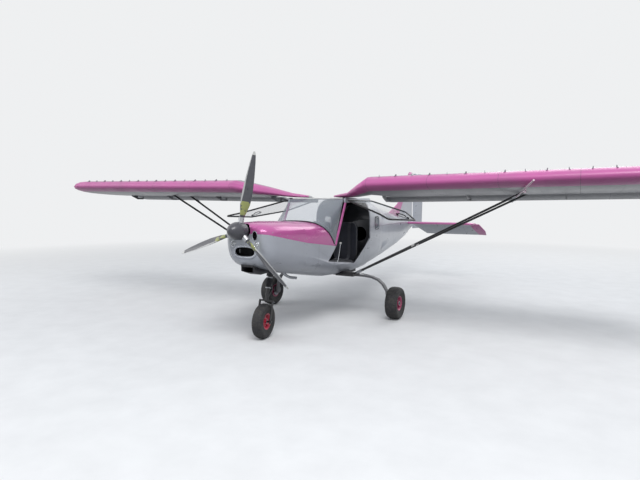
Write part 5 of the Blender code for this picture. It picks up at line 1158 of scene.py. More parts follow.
class ULTRALIGHT_OT_nose(bpy.types.Operator):
    """Make the mouth's lip and radiator, the lamps, the eye rims, the exhaust and cowl fasteners"""

    bl_idname = "ultralight.nose"
    bl_label = "Nose"

    def execute(self, context):
        f = finishes()
        self.mouth(f)
        for side_name, side in SIDES.items():
            self.lamp(f"landing_light_{side_name}", f)
            self.eye(side_name, side, f)
        self.exhaust(f)
        self.fasteners(f)
        self.hub_bolts(f)
        return {"FINISHED"}

    def mouth(self, f):
        """Lip: a tube on x = a c |c|^(p-1), z = z0 + b s |s|^(q-1); behind it fins in a frame."""
        turn = np.linspace(0, TAU, 96, endpoint=False)
        x = MOUTH_WIDE / 2 * rounded(turn, 0.7)[0]
        z = MOUTH_HIGH / 2 * rounded(turn, 0.8)[1]
        path = np.stack([x, np.full_like(x, COWL_FACE - LIP_AHEAD), MOUTH_LEVEL + z], axis=1)
        tube("mouth_lip", path, LIP_RADIUS, "airframe", f["bright"], 16, closed=True)
        back = COWL_FACE + RADIATOR_BACK
        path = np.stack([x * 0.96, np.full_like(x, back), MOUTH_LEVEL + z * 0.94], axis=1)
        tube("radiator_frame", path, 0.008, "airframe", f["bare"], 10, closed=True)
        shape, faces = block()
        left, right = (-RADIATOR_HALF, back, MOUTH_LEVEL), (RADIATOR_HALF, back, MOUTH_LEVEL)
        places = row(left, right, 2 * RADIATOR_HALF / RADIATOR_FINS)
        scattered("radiator_fins", shape * FIN_SIZE, faces, places, np.eye(3), 1.0,
                  "airframe", f["matrix"], angle=0)
        low, high = (0, back, MOUTH_LEVEL - RADIATOR_RISE), (0, back, MOUTH_LEVEL + RADIATOR_RISE)
        scattered("radiator_tubes", shape * TUBE_SIZE, faces, row(low, high, TUBE_PITCH), np.eye(3), 1.0,
                  "airframe", f["matrix"], angle=0)

    def lamp(self, node, f):
        """Housing, dished reflector a = r^2 / 4 f, bulb and domed lens, all turned about the axis."""
        low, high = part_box(node)
        centre = ((low.x + high.x) / 2, high.y, (low.z + high.z) / 2)
        deep = high.y - low.y
        wide = (high.x - low.x) / 2
        ahead = (0, -1, 0)
        shell = [
            (wide - 0.007, 0.0),
            (wide, 0.0),
            (wide, deep - 0.005),
            (wide - 0.002, deep - 0.001),
            (wide - 0.004, deep),
            (wide - 0.006, deep - 0.002),
            (wide - 0.007, deep - 0.008),
        ]
        ring = turned(f"{node}_bezel", shell, centre, ahead, "airframe", f["chrome"], 48)
        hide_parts(node)
        r = np.linspace(0.0, wide - 0.0075, 12)
        bowl = np.stack([r, REFLECTOR_BACK + (r / wide) ** 2 * REFLECTOR_DEEP], axis=1)
        dish = np.vstack([bowl, (bowl - (0, 0.0015))[::-1]])
        turned(f"{node}_reflector", dish, centre, ahead, "airframe", f["chrome"], 40)
        bulb = [(0.0, 0.020), (0.006, 0.022), (0.007, 0.034), (0.004, 0.040), (0.0, 0.041)]
        turned(f"{node}_bulb", bulb, centre, ahead, "airframe", f["white"], 20)
        r = np.linspace(0.0, wide - 0.0072, 10)
        face = np.stack([r, deep - 0.0035 - (r / wide) ** 2 * 0.004], axis=1)
        lens = np.vstack([face, (face - (0, 0.0018))[::-1]])
        turned(f"{node}_lens", lens, centre, ahead, "airframe", f["lens"], 40)

    def eye(self, side_name, side, f):
        """Rolled rim round each upper inlet: a tube on an ellipse laid on the cowl's skin."""
        turn = np.linspace(0, TAU, 56, endpoint=False)
        x = side * EYE_OUT + EYE_WIDE / 2 * np.cos(turn)
        z = EYE_LEVEL + EYE_HIGH / 2 * np.sin(turn)
        y = np.full_like(x, COWL_FACE + 0.001)
        path = np.stack([x, y, z], axis=1)
        tube(f"eye_rim_{side_name}", path, EYE_RIM_RADIUS, "airframe", f["bright"], 10,
             closed=True)

    def exhaust(self, f):
        """A bent pipe of even bore, open at its end, with a clamp where it leaves the cowl."""
        path = eased(EXHAUST_ROUTE)
        outer = tube_rings(path, EXHAUST_RADIUS, 24)
        inner = tube_rings(path, EXHAUST_BORE, 24)
        rings = np.concatenate([outer, inner[::-1]])
        sweep("exhaust_pipe", rings, "airframe", f["bare"], closed=True)
        clamp = tube_rings(path[8:12], EXHAUST_CLAMP, 24)
        sweep("exhaust_clamp", clamp, "airframe", f["bare"])

    def fasteners(self, f):
        """Quarter-turn studs along the cowl's split and its firewall edge."""
        shape = dome(8)
        upper, lower = skin_tree("cowl_upper"), skin_tree("cowl_lower")
        station = FIREWALL - 0.018
        groups = [hoop(upper, station, 1.15, STUD_PITCH), hoop(lower, station, 1.05, STUD_PITCH)]
        for side in SIDES.values():
            for tree, rise in ((upper, STUD_DROP), (lower, -STUD_DROP - 0.002)):
                front = (side, COWL_FACE + 0.10, SPLIT_FRONT + rise)
                back = (side, FIREWALL - 0.06, SPLIT_BACK + rise)
                groups.append(seated(tree, row(front, back, STUD_PITCH), (-side, 0, 0)))
        rivets("cowl_studs", groups, "airframe", f["bare"], STUD_RADIUS, shape)

    def hub_bolts(self, f):
        """Four bolts on each blade clamp, and a ring of screws round the spinner's skirt."""
        turn = np.linspace(0, TAU, SKIRT_SCREWS, endpoint=False) + 0.1
        up, side, along = basis_of(THRUST)
        spokes = np.cos(turn)[:, None] * up + np.sin(turn)[:, None] * side
        places = np.array(HUB) + spokes * SKIRT_SCREW_REACH
        ahead = np.broadcast_to(along, spokes.shape)
        bases = np.stack([np.cross(spokes, along), ahead, spokes], axis=1)
        points, faces = dome(6)
        scattered("skirt_screws", points, faces, places, bases, 0.0042,
                  "propeller", f["bare"])
        places, bases = [], []
        for index in range(3):
            turn = BLADE_PHASE + index * TAU / 3
            out = np.array(HUB_UP) * math.cos(turn) + np.array((1.0, 0, 0)) * math.sin(turn)
            across = np.cross(out, along)
            for reach in CLAMP_BOLTS:
                for way in (-1, 1):
                    places.append(np.array(HUB) + out * reach + across * way * CLAMP_HALF)
                    bases.append(np.array([out, np.cross(across * way, out), across * way]))
        points, faces = hexagon()
        scattered("clamp_bolts", points, faces, np.array(places), np.array(bases), 0.0052,
                  "propeller", f["bare"])


ROOF_LEVEL = 1.677
ROOF_HALF = 0.400
REAR_WINDOW_HALF = (0.103, 0.098)
REAR_WINDOW_POWER = 0.35


class ULTRALIGHT_OT_glazing(bpy.types.Operator):
    """Lay seals and screws round the windscreen and rear windows, and trim on the roof's front"""

    bl_idname = "ultralight.glazing"
    bl_label = "Glazing"

    def execute(self, context):
        f = finishes()
        turn = np.linspace(0.02, math.pi - 0.02, 64)
        side, share = rounded(turn, 2 / SCREEN_POWER)
        x = SCREEN_HALF * side
        y = SCREEN_SIDE + (SCREEN_CENTRE - SCREEN_SIDE) * share - 0.003
        z = SCREEN_LOW + (SCREEN_HIGH - SCREEN_LOW) * share + 0.006
        base = np.stack([x, y, z], axis=1)
        tube("windscreen_seal", base, 0.0075, "airframe", f["seal"], 10)
        roof = skin_tree("cabin_roof")
        starts = row((-ROOF_HALF, -2.5, ROOF_LEVEL), (ROOF_HALF, -2.5, ROOF_LEVEL), 0.02)
        edge, _ = seated(roof, starts, (0, 1, 0))
        tube("roof_front_trim", edge - (0, 0.002, 0), 0.009, "airframe", f["white"], 12)
        walls = skin_tree("rear_cabin", "rear_window_port", "rear_window_starboard")
        along, up = rounded(np.linspace(0, TAU, 72, endpoint=False), REAR_WINDOW_POWER)
        y = REAR_WINDOW[0] + REAR_WINDOW_HALF[0] * along
        z = REAR_WINDOW[1] + REAR_WINDOW_HALF[1] * up
        for side_name, side in SIDES.items():
            starts = np.stack([np.full_like(y, side), y, z], axis=1)
            path, _ = seated(walls, starts, (-side, 0, 0), 0.001)
            tube(f"rear_window_seal_{side_name}", path, 0.0055, "airframe", f["seal"], 8,
                 closed=True)
        screws = seated(skin_tree("windscreen"), base[2:-2:2] + (0, -0.6, 0.030), (0, 1, 0))
        rivets("windscreen_screws", [screws], "airframe", f["bare"], 0.0045)
        return {"FINISHED"}


WING_RIBS = (1.02, 4.00, 9)
WING_RIB_SPAN = (-1.995, -1.045)
WING_SPARS = (FRONT_SPAR, -1.390, -1.030)
WING_SPAR_OUT = (0.95, 4.25)
FLAPERON_RIBS = (0.86, 4.15, 8)
FLAPERON_RIB_SPAN = (-0.965, -0.690)
FLAPERON_SPAR = -0.925
FLAPERON_SPAR_OUT = (0.88, 4.13)
TAILPLANE_RIBS = (0.14, 0.42, 0.72, 1.00, 1.28)
TAILPLANE_HALF = 1.36
BOTH_FACES = ((RAYS_ABOVE, (0, 0, -1)), (RAYS_BELOW, (0, 0, 1)))
BOTH_TAIL_FACES = ((RAYS_ABOVE, (0, 0, -1)), (RAYS_BELOW_TAIL, (0, 0, 1)))


class ULTRALIGHT_OT_rivets(bpy.types.Operator):
    """Set rows of rivets on the fuselage, wings and tail"""

    bl_idname = "ultralight.rivets"
    bl_label = "Rivets"

    def execute(self, context):
        f = finishes()
        pitch = settings().rivet_pitch
        self.fuselage(f, pitch)
        for side_name, side in SIDES.items():
            self.wing(side_name, side, f, pitch)
        self.tail(f, pitch)
        return {"FINISHED"}

    def fuselage(self, f, pitch):
        """Hoops at the frames and runs along the creases."""
        tail = skin_tree("tail_cone")
        stations = (0.115, *TAIL_FRAMES, 2.840)
        groups = [hoop(tail, station, 1.12, pitch) for station in stations]
        for side in SIDES.values():
            crease = row((side, 0.15, 1.235), (side, 2.80, 1.190), pitch)
            groups.append(seated(tail, crease, (-side, 0, 0)))
        rivets("tail_cone_rivets", groups, "airframe", f["plain"])
        rear = skin_tree("rear_cabin")
        groups = [hoop(rear, station, 1.15, pitch) for station in (-0.560, -0.100, 0.085)]
        rivets("rear_cabin_rivets", groups, "airframe", f["plain"])
        tub = skin_tree("cabin_tub")
        groups = [hoop(tub, station, 1.00, pitch) for station in (-2.330, *CABIN_FRAMES, -0.590)]
        rivets("cabin_tub_rivets", groups, "airframe", f["plain"])
        roof = skin_tree("cabin_roof")
        groups = []
        for y in (-1.30, -0.60):
            bow = row((-0.44, y, RAYS_ABOVE), (0.44, y, RAYS_ABOVE), pitch)
            groups.append(seated(roof, bow, (0, 0, -1)))
        rivets("cabin_roof_rivets", groups, "airframe", f["plain"])

    def wing(self, side_name, side, f, pitch):
        """Ribs and spars on both faces of a wing and its flaperon."""
        for node, body, ribs, span, spars, out in (
            ("wing", "airframe", WING_RIBS, WING_RIB_SPAN, WING_SPARS, WING_SPAR_OUT),
            ("flaperon", f"flaperon_{side_name}", FLAPERON_RIBS, FLAPERON_RIB_SPAN, (FLAPERON_SPAR,),
             FLAPERON_SPAR_OUT),
        ):
            tree = skin_tree(f"{node}_{side_name}")
            found = []
            for level, way in BOTH_FACES:
                for x in side * np.linspace(*ribs):
                    found.append(seated(tree, row((x, span[0], level), (x, span[1], level), pitch), way))
                for station in spars:
                    ends = [(side * x, station, level) for x in out]
                    found.append(seated(tree, row(*ends, pitch), way))
            rivets(f"{node}_rivets_{side_name}", found, body, f["plain_wing"])

    def tail(self, f, pitch):
        """Ribs and spars of the tailplane, elevator, fin and rudder."""
        for node, body, front, back in (
            ("stabiliser", "airframe", 2.335, 2.585),
            ("elevator", "elevator", 2.660, 2.985),
        ):
            tree = skin_tree(node)
            found = []
            for level, way in BOTH_TAIL_FACES:
                for out in TAILPLANE_RIBS:
                    for side in SIDES.values():
                        starts = row((side * out, front, level), (side * out, back, level), pitch)
                        found.append(seated(tree, starts, way))
                for station in (front, back):
                    ends = [(x, station, level) for x in (-TAILPLANE_HALF, TAILPLANE_HALF)]
                    starts = row(*ends, pitch)
                    found.append(seated(tree, starts, way))
            rivets(f"{node}_rivets", found, body, f["plain"])
        for node, body, front, back, low, high in (
            ("fin", "airframe", 2.25, 2.86, 1.30, 2.15),
            ("rudder", "rudder", 2.95, 3.24, 1.18, 2.18),
        ):
            tree = skin_tree(node)
            found = []
            for side in SIDES.values():
                for level in np.linspace(low, high, 5):
                    starts = row((side, front, level), (side, back, level), pitch)
                    found.append(seated(tree, starts, (-side, 0, 0)))
                starts = row((side, back - 0.02, low), (side, back - 0.02, high), pitch)
                found.append(seated(tree, starts, (-side, 0, 0)))
            rivets(f"{node}_rivets", found, body, f["plain"])


# Radius and width of each wheel's tyre, radius and width of its rim, radius of its bore, and its paint
WHEELS = {
    "main_port": (0.2245, 0.172, 0.098, 0.120, 0.017, "rim"),
    "main_starboard": (0.2245, 0.172, 0.098, 0.120, 0.017, "rim"),
    "nose": (0.207, 0.128, 0.092, 0.092, 0.013, "nose_rim"),
}
GROOVE_SHARES = (-0.42, 0.0, 0.42)
GROOVE_DEEP = 0.0045
TREAD_DEEP = 0.005
RIM_RIBS = 6
RIM_BOLT = 0.0062
VALVE_STEM = ((0.0, 0.0), (0.0042, 0.0), (0.0042, 0.006), (0.0028, 0.008), (0.0028, 0.020), (0.0, 0.020))
VALVE_CAP = ((0.0, 0.018), (0.0036, 0.018), (0.0036, 0.026), (0.0024, 0.028), (0.0, 0.028))
BRAKE_DISC = ((0.038, 0.0765), (0.074, 0.0765), (0.074, 0.0815), (0.038, 0.0815))
BRAKE_HAT = (
    (0.024, 0.0600),
    (0.040, 0.0600),
    (0.040, 0.0790),
    (0.036, 0.0790),
    (0.034, 0.0640),
    (0.024, 0.0640),
)
PAD_MIDDLE = (-0.9225, 0.226)
PAD_HALF = (0.0225, 0.036)
PADS = {"inner": (0.9345, 0.9485), "outer": (0.9585, 0.9655)}
BRIDGE = ((0.936, -0.899, 0.226), (0.965, -0.899, 0.226))
BRAKE_ARM = ((0.928, -0.975, 0.226), (0.931, -0.950, 0.228), (0.938, -0.925, 0.230))
BRAKE_PIPE = (
    (0.940, -0.925, 0.258),
    (0.925, -0.951, 0.290),
    (0.905, -0.958, 0.384),
    (0.850, -0.970, 0.482),
    (0.700, -0.980, 0.562),
    (0.540, -0.990, 0.600),
    (0.420, -1.000, 0.606),
)


def to_side(points, side):
    """Points of the port side, or their mirror images."""
    return np.array(points, float) * (side, 1, 1)


def wheel_axis(name):
    """Centre, axle direction and body of a wheel at rest."""
    if name == "nose":
        cos, sin = math.cos(STEER_TURN), math.sin(STEER_TURN)
        axis = Vector((cos, sin * math.cos(STEER_LEAN), -sin * math.sin(STEER_LEAN)))
        return NOSE_HUB, axis, "nose_wheel"
    side = -1 if name.endswith("starboard") else 1
    return MAIN_HUB * Vector((side, 1, 1)), Vector((1, 0, 0)), name.replace("main_", "main_wheel_")


class ULTRALIGHT_OT_wheels(bpy.types.Operator):
    """Make treaded tyres, bolted rims and the main wheels' brakes"""

    bl_idname = "ultralight.wheels"
    bl_label = "Wheels"

    def execute(self, context):
        f = finishes()
        for name, (radius, wide, rim, rim_wide, bore, paint) in WHEELS.items():
            centre, axis, body = wheel_axis(name)
            self.tyre(name, centre, axis, body, radius, wide, rim, rim_wide, f["rubber"])
            self.rim(name, centre, axis, body, rim, rim_wide, bore, f[paint], f["bare"])
            self.valve(name, centre, axis, body, rim, rim_wide, f)
        for side_name, side in SIDES.items():
            self.brake(side_name, side, f)
        return {"FINISHED"}

    def tyre(self, name, centre, axis, body, radius, wide, rim, rim_wide, material):
        """Profile r(s), a(s) round the section, with cross cuts r -= d where sin(k t) is high."""
        half = wide / 2
        turn = np.linspace(-math.pi / 2, math.pi / 2, 41)
        across = half * rounded(turn, 0.8)[1]
        reach = radius - (radius - rim) * 0.46 * (1 - np.abs(np.cos(turn)) ** 0.55)
        groove = np.zeros_like(turn)
        for place in GROOVE_SHARES:
            groove += GROOVE_DEEP * np.exp(-(((across / half) - place) / 0.045) ** 2)
        shoulder = np.exp(-((np.abs(across / half) - 0.72) / 0.20) ** 2)
        lip = np.array([[rim + 0.001, -rim_wide / 2], [rim + 0.012, -rim_wide / 2 - 0.004]])
        tread = np.stack([reach - groove, across], axis=1)
        profile = np.vstack([lip, tread, (lip * (1, -1))[::-1]])
        steps = settings().tread_blocks * 6
        cuts = np.tile([1, 1, 0, 0, 0, 0], settings().tread_blocks)[:, None]
        depth = np.concatenate([[0, 0], shoulder * TREAD_DEEP, [0, 0]])[None, :]
        up, side, along = basis_of(axis)
        angle = np.linspace(0, TAU, steps, endpoint=False)[:, None, None]
        out = (profile[None, :, 0] - cuts * depth)[..., None]
        rings = np.array(centre) + out * (np.cos(angle) * up + np.sin(angle) * side)
        rings = rings + profile[None, :, 1, None] * along
        tyre = sweep(f"{name}_tyre_fine", rings, body, material, closed=True, angle=50.0)
        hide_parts(f"{name}_tyre")

    def rim(self, name, centre, axis, body, radius, wide, bore, paint, metal):
        """A dished rim turned about the axle, with its ribs, its ring of bolts and bearing caps."""
        half = wide / 2
        shape = np.array([
            (bore + 0.001, -half),
            (bore * 2.0, -half),
            (bore * 2.2, -half * 0.62),
            (radius * 0.60, -half * 0.38),
            (radius * 0.78, -half * 0.45),
            (radius * 0.86, -half * 0.92),
            (radius * 0.93, -half - 0.002),
            (radius + 0.004, -half - 0.004),
            (radius + 0.004, -half + 0.004),
            (radius, -half + 0.008),
        ])
        profile = np.vstack([shape, (shape * (1, -1))[::-1]])
        rim = turned(f"{name}_rim_fine", profile, centre, axis, body, paint, 96)
        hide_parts(f"{name}_rim")
        turn = np.linspace(0, TAU, RIM_RIBS, endpoint=False)
        up, side, along = basis_of(axis)
        shape, sides = block()
        shape = (shape + (0.5, 0, 0)) * (radius * 0.46, 0.011, 0.012)
        lean = turn + TAU / (2 * RIM_RIBS)
        arms = np.cos(lean)[:, None] * up + np.sin(lean)[:, None] * side
        for label, way in (("outer", 1.0), ("inner", -1.0)):
            out = along * way
            places = np.array(centre) + arms * radius * 0.30 + out * half * 0.47
            bases = np.stack([arms, np.cross(out, arms), np.broadcast_to(out, arms.shape)], axis=1)
            scattered(f"{name}_rim_ribs_{label}", shape, sides, places, bases, 1.0,
                      body, paint)
        spokes = np.cos(turn)[:, None] * up + np.sin(turn)[:, None] * side
        points, faces = hexagon()
        for label, way in (("outer", 1.0), ("inner", -1.0)):
            places = np.array(centre) + spokes * radius * 0.52 + along * way * half * 0.455
            bases = np.array([up, side * way, along * way])
            scattered(f"{name}_bolts_{label}", points, faces, places, bases, RIM_BOLT,
                      body, metal)
            cap = np.array([
                (bore * 1.25, half * 0.96),
                (bore * 1.95, half * 0.96),
                (bore * 1.95, half * 1.01),
                (bore * 1.70, half * 1.035),
                (bore * 1.25, half * 1.035),
            ])
            turned(f"{name}_bearing_cap_{label}", cap * (1, way), centre, axis, body, metal, 32)

    def valve(self, name, centre, axis, body, radius, wide, f):
        """A valve stem with its cap, standing out of the rim's dish."""
        up, side, along = (Vector(v) for v in basis_of(axis))
        foot = centre + (up * 0.6 + side * 0.8) * radius * 0.70 + along * wide * 0.20
        turned(f"{name}_valve_stem", VALVE_STEM, foot, along, body, f["bare"], 16)
        turned(f"{name}_valve_cap", VALVE_CAP, foot, along, body, f["plastic"], 16)

    def brake(self, side_name, side, f):
        """Plain disc and hat on the wheel, a caliper held to the axle and the brake pipe up the bow."""
        centre = MAIN_HUB * Vector((side, 1, 1))
        inward = Vector((-side, 0, 0))
        body = f"main_wheel_{side_name}"
        turned(f"brake_disc_{side_name}", BRAKE_DISC, centre, inward, body, f["bare"], 64)
        turned(f"brake_hat_{side_name}", BRAKE_HAT, centre, inward, body, f["bare"], 40)
        along, up = rounded(np.linspace(0, TAU, 40, endpoint=False), 0.5)
        outline = np.stack([np.zeros(40), PAD_HALF[0] * along, PAD_HALF[1] * up], axis=1)
        for label, (near, far) in PADS.items():
            rings = [
                outline * share + (side * x, *PAD_MIDDLE)
                for x, share in ((near, 0.86), (near + 0.001, 1.0), (far - 0.001, 1.0), (far, 0.86))
            ]
            sweep(f"brake_pad_{label}_{side_name}", rings, "airframe", f["grey"])
        bridge = tube_rings(to_side(BRIDGE, side), 0.009, 16)
        sweep(f"brake_bridge_{side_name}", bridge, "airframe", f["grey"])
        arm = eased(to_side(BRAKE_ARM, side), 6)
        tube(f"brake_arm_{side_name}", arm, 0.007, "airframe", f["grey"], 12)
        pipe = eased(to_side(BRAKE_PIPE, side))
        tube(f"brake_pipe_{side_name}", pipe, 0.0034, "airframe", f["plastic"], 10)


# Nose leg, with reaches measured down the leg from its top
LEG_TOP = (0.0, -2.546, 0.800)
CORD_TURNS = 7
CORD_FROM = 0.104
CORD_PITCH = 0.0138
CORD_REACH = 0.0295
CORD_RADIUS = 0.0066
COLLARS = {"upper": 0.084, "lower": 0.209}
COLLAR = (
    (0.0225, 0.0),
    (0.034, 0.0),
    (0.036, 0.003),
    (0.036, 0.009),
    (0.034, 0.012),
    (0.0225, 0.012),
)
CROWN = 0.355
CROWN_HALF = 0.0905
FORK_BOLT = 0.0062


class ULTRALIGHT_OT_gear(bpy.types.Operator):
    """Make the nose leg's rubber cord with its collars, and the fork's bolts"""

    bl_idname = "ultralight.gear"
    bl_label = "Nose gear"

    def execute(self, context):
        f = finishes()
        top = np.array(LEG_TOP)
        along = np.array((0.0, -math.sin(STEER_LEAN), -math.cos(STEER_LEAN)))
        angle = np.linspace(0, TAU * CORD_TURNS, CORD_TURNS * 28)
        up, side, _ = basis_of(along)
        drop = CORD_FROM + CORD_PITCH * angle / TAU
        spokes = np.cos(angle)[:, None] * up + np.sin(angle)[:, None] * side
        path = top + drop[:, None] * along + CORD_REACH * spokes
        tube("shock_cord", path, CORD_RADIUS, "nose_fork", f["cord"], 10)
        for label, reach in COLLARS.items():
            turned(f"cord_collar_{label}", COLLAR, top + along * reach, along,
                   "nose_fork", f["bare"], 40)
        points, faces = hexagon()
        up, side, out = basis_of(wheel_axis("nose")[1])
        crown = top + along * CROWN
        places, bases = [], []
        for way in (-1, 1):
            for shift in (-0.045, 0.0, 0.045):
                low = np.array((0, shift * 0.35, -0.020 - abs(shift) * 0.2))
                places.append(crown + out * way * CROWN_HALF + low)
                bases.append(np.array([up, side * way, out * way]))
        scattered("fork_bolts", points, faces, np.array(places), np.array(bases), FORK_BOLT,
                  "nose_fork", f["bare"])
        return {"FINISHED"}


def strut_ends(node):
    """Middle of a strut's low end and of its top, from its points."""
    points = node_points(node)
    out = np.abs(points[:, 0])
    low = points[out < out.min() + 0.05]
    top = points[out > out.max() - 0.05]
    return low.mean(axis=0), top.mean(axis=0)


# Fittings, with those of the door given for a shut port door
PROBE_ROUTE = (
    (2.612, -1.452, 1.684),
    (2.700, -1.780, 1.730),
    (2.770, -2.020, 1.773),
    (2.848, -2.150, 1.839),
)
PROBE_RADIUS = 0.0085
CUFF_CHORD = 0.0300
CUFF_THICK = 0.0150
CUFF_LONG = 0.080
CUFF_LOW = 0.045
CUFF_TOP = {"front": 0.125, "rear": 0.205}
CUFF_BOLTS = (0.020, 0.060)
CUFF_BOLT = 0.0065
FLAPERON_HINGES = (0.900, 1.999, 3.101, 3.999)
FLAPERON_LEVEL = 1.628
FLAPERON_SLOPE = 0.014
HINGE_PLATE_HALF = 0.0075
ELEVATOR_HINGES = (0.30, 1.15)
TAIL_PLATE_HALF = 0.012
DOOR_LATCH = ((0.0, 0.0), (0.017, 0.0), (0.019, 0.002), (0.019, 0.010), (0.016, 0.013), (0.0, 0.013))
LATCH_OUT = DOOR_PLANE + 0.004
LATCH_STATION = -1.205
LATCH_LEVELS = {"catch": 0.842, "lock": 1.000}
FUEL_CAP_AT = (1.36, -1.64)
FUEL_CAP = (
    (0.0, -0.004),
    (0.034, -0.004),
    (0.034, 0.003),
    (0.031, 0.005),
    (0.026, 0.0038),
    (0.0, 0.0036),
)
FUEL_CAP_BAR = (0.040, 0.008, 0.009)
TIE_RING_AT = (2.60, 1.020)
TIE_RING_RADIUS = 0.020
TIE_RING_WIRE = 0.004


class ULTRALIGHT_OT_fittings(bpy.types.Operator):
    """Make the strut cuffs, hinge bolts, door catches, fuel caps, probe tube and tail ring"""

    bl_idname = "ultralight.fittings"
    bl_label = "Fittings"

    def execute(self, context):
        f = finishes()
        for side_name, side in SIDES.items():
            self.struts(side_name, f)
            self.hinges(side_name, side, f)
            self.door(side_name, side, f)
            self.fuel_cap(side_name, side, f)
        probe = tube_rings(eased(PROBE_ROUTE), PROBE_RADIUS)
        sweep("probe_tube", probe, "airframe", f["probe"])
        self.tail(f)
        return {"FINISHED"}

    def struts(self, side_name, f):
        """Cuffs: ellipses carried along the strut's line. Bolts: in pairs on both of its faces."""
        turn = np.linspace(0, TAU, 36, endpoint=False)
        grow = np.array([0.95, 1.0, 1.0, 0.95])[:, None, None]
        points, faces = hexagon()
        for kind, top_gap in CUFF_TOP.items():
            low, top = strut_ends(f"{kind}_strut_{side_name}")
            span = np.linalg.norm(top - low)
            line = (top - low) / span
            chord = np.array((0.0, 1.0, 0.0)) - line * line[1]
            chord /= np.linalg.norm(chord)
            thick = np.cross(line, chord)
            ring = np.cos(turn)[:, None] * chord * CUFF_CHORD
            ring = ring + np.sin(turn)[:, None] * thick * CUFF_THICK
            for label, start in (("low", CUFF_LOW), ("top", span - top_gap)):
                reach = start + np.array([0.0, 0.002, CUFF_LONG - 0.002, CUFF_LONG])
                rings = (low + reach[:, None] * line)[:, None] + ring[None] * grow
                sweep(f"{kind}_strut_cuff_{label}_{side_name}", rings, "airframe", f["bare"])
            places, bases = [], []
            for start in (CUFF_LOW, span - top_gap):
                for reach in CUFF_BOLTS:
                    for way in (-1, 1):
                        places.append(low + line * (start + reach) + thick * way * 0.0148)
                        bases.append(np.array([chord, line * way, thick * way]))
            scattered(f"{kind}_strut_bolts_{side_name}", points, faces, np.array(places), np.array(bases),
                      CUFF_BOLT, "airframe", f["bare"])

    def hinges(self, side_name, side, f):
        """A bolt through each flaperon hinge, its head on one face and its nut on the other."""
        points, faces = hexagon()
        places, bases = [], []
        for out in FLAPERON_HINGES:
            level = FLAPERON_LEVEL + FLAPERON_SLOPE * out
            for way in (-1, 1):
                places.append((side * out + way * HINGE_PLATE_HALF, FLAPERON_LINE, level))
                bases.append(np.array([(0, 1, 0), (0, 0, way), (way, 0, 0)]))
        scattered(f"flaperon_hinge_bolts_{side_name}", points, faces, np.array(places), np.array(bases),
                  0.0062, "airframe", f["bare"])

    def door(self, side_name, side, f):
        """Catch, lock, pull and bolt, drawn on the shut door and swung up about the hinge line."""
        body = f"door_{side_name}"
        x, y = LATCH_OUT, LATCH_STATION
        for label, level in LATCH_LEVELS.items():
            rings = turned_rings(DOOR_LATCH, (x, y, level), (1, 0, 0), 28)
            sweep(f"door_{label}_{side_name}", swung(rings, side), body, f["plastic"],
                  closed=True)
        z = LATCH_LEVELS["lock"]
        pull = eased([
            (x + 0.010, y - 0.006, z),
            (x + 0.022, y - 0.004, z - 0.03),
            (x + 0.022, y - 0.002, z - 0.10),
            (x + 0.010, y, z - 0.13),
        ])
        rings = swung(tube_rings(pull, 0.0065), side)
        sweep(f"door_pull_{side_name}", rings, body, f["plastic"])
        rod = [(x - 0.006, y, LATCH_LEVELS["catch"] - 0.020), (x - 0.006, y, z)]
        rings = swung(tube_rings(rod, 0.005, 12), side)
        sweep(f"door_bolt_{side_name}", rings, body, f["bare"])

    def fuel_cap(self, side_name, side, f):
        """A low turned cap with a thumb bar, set in the wing's upper skin."""
        start = (side * FUEL_CAP_AT[0], FUEL_CAP_AT[1], RAYS_ABOVE)
        place, rows_of = seated(skin_tree(f"wing_{side_name}"), [start], (0, 0, -1))
        turned(f"fuel_cap_{side_name}", FUEL_CAP, place[0], rows_of[0][2], "airframe",
               f["bare"], 48)
        shape, faces = block()
        scattered(f"fuel_cap_bar_{side_name}", shape * FUEL_CAP_BAR, faces, place, rows_of, 1.0,
                  "airframe", f["plastic"], angle=0)

    def tail(self, f):
        """Hinge bolts of the elevator, and the ring under the tail."""
        points, faces = hexagon()
        places, bases = [], []
        for side in (-1, 1):
            for out in ELEVATOR_HINGES:
                for way in (-1, 1):
                    places.append((side * out, ELEVATOR_LINE, ELEVATOR_LEVEL + TAIL_PLATE_HALF * way))
                    bases.append(np.array([(1, 0, 0), (0, way, 0), (0, 0, way)]))
        scattered("elevator_hinge_bolts", points, faces, np.array(places), np.array(bases), 0.0052,
                  "airframe", f["bare"])
        turn = np.linspace(0, TAU, 32, endpoint=False)
        y = TIE_RING_AT[0] + TIE_RING_RADIUS * np.cos(turn)
        z = TIE_RING_AT[1] + TIE_RING_RADIUS * np.sin(turn)
        path = np.stack([np.zeros(32), y, z], axis=1)
        tube("tail_tie_ring", path, TIE_RING_WIRE, "airframe", f["bare"], 12, closed=True)


def swung(points, side):
    """Points of a shut port door, swung up about the hinge line and mirrored to a side."""
    hinge = np.array([DOOR_PLANE, 0.0, HINGE_LEVEL])
    cos, sin = math.cos(DOOR_OPEN), math.sin(DOOR_OPEN)
    away = np.asarray(points, float) - hinge
    turned_x = away[..., 0] * cos - away[..., 2] * sin
    turned_z = away[..., 0] * sin + away[..., 2] * cos
    return np.stack([side * (turned_x + hinge[0]), away[..., 1], turned_z + hinge[2]], axis=-1)


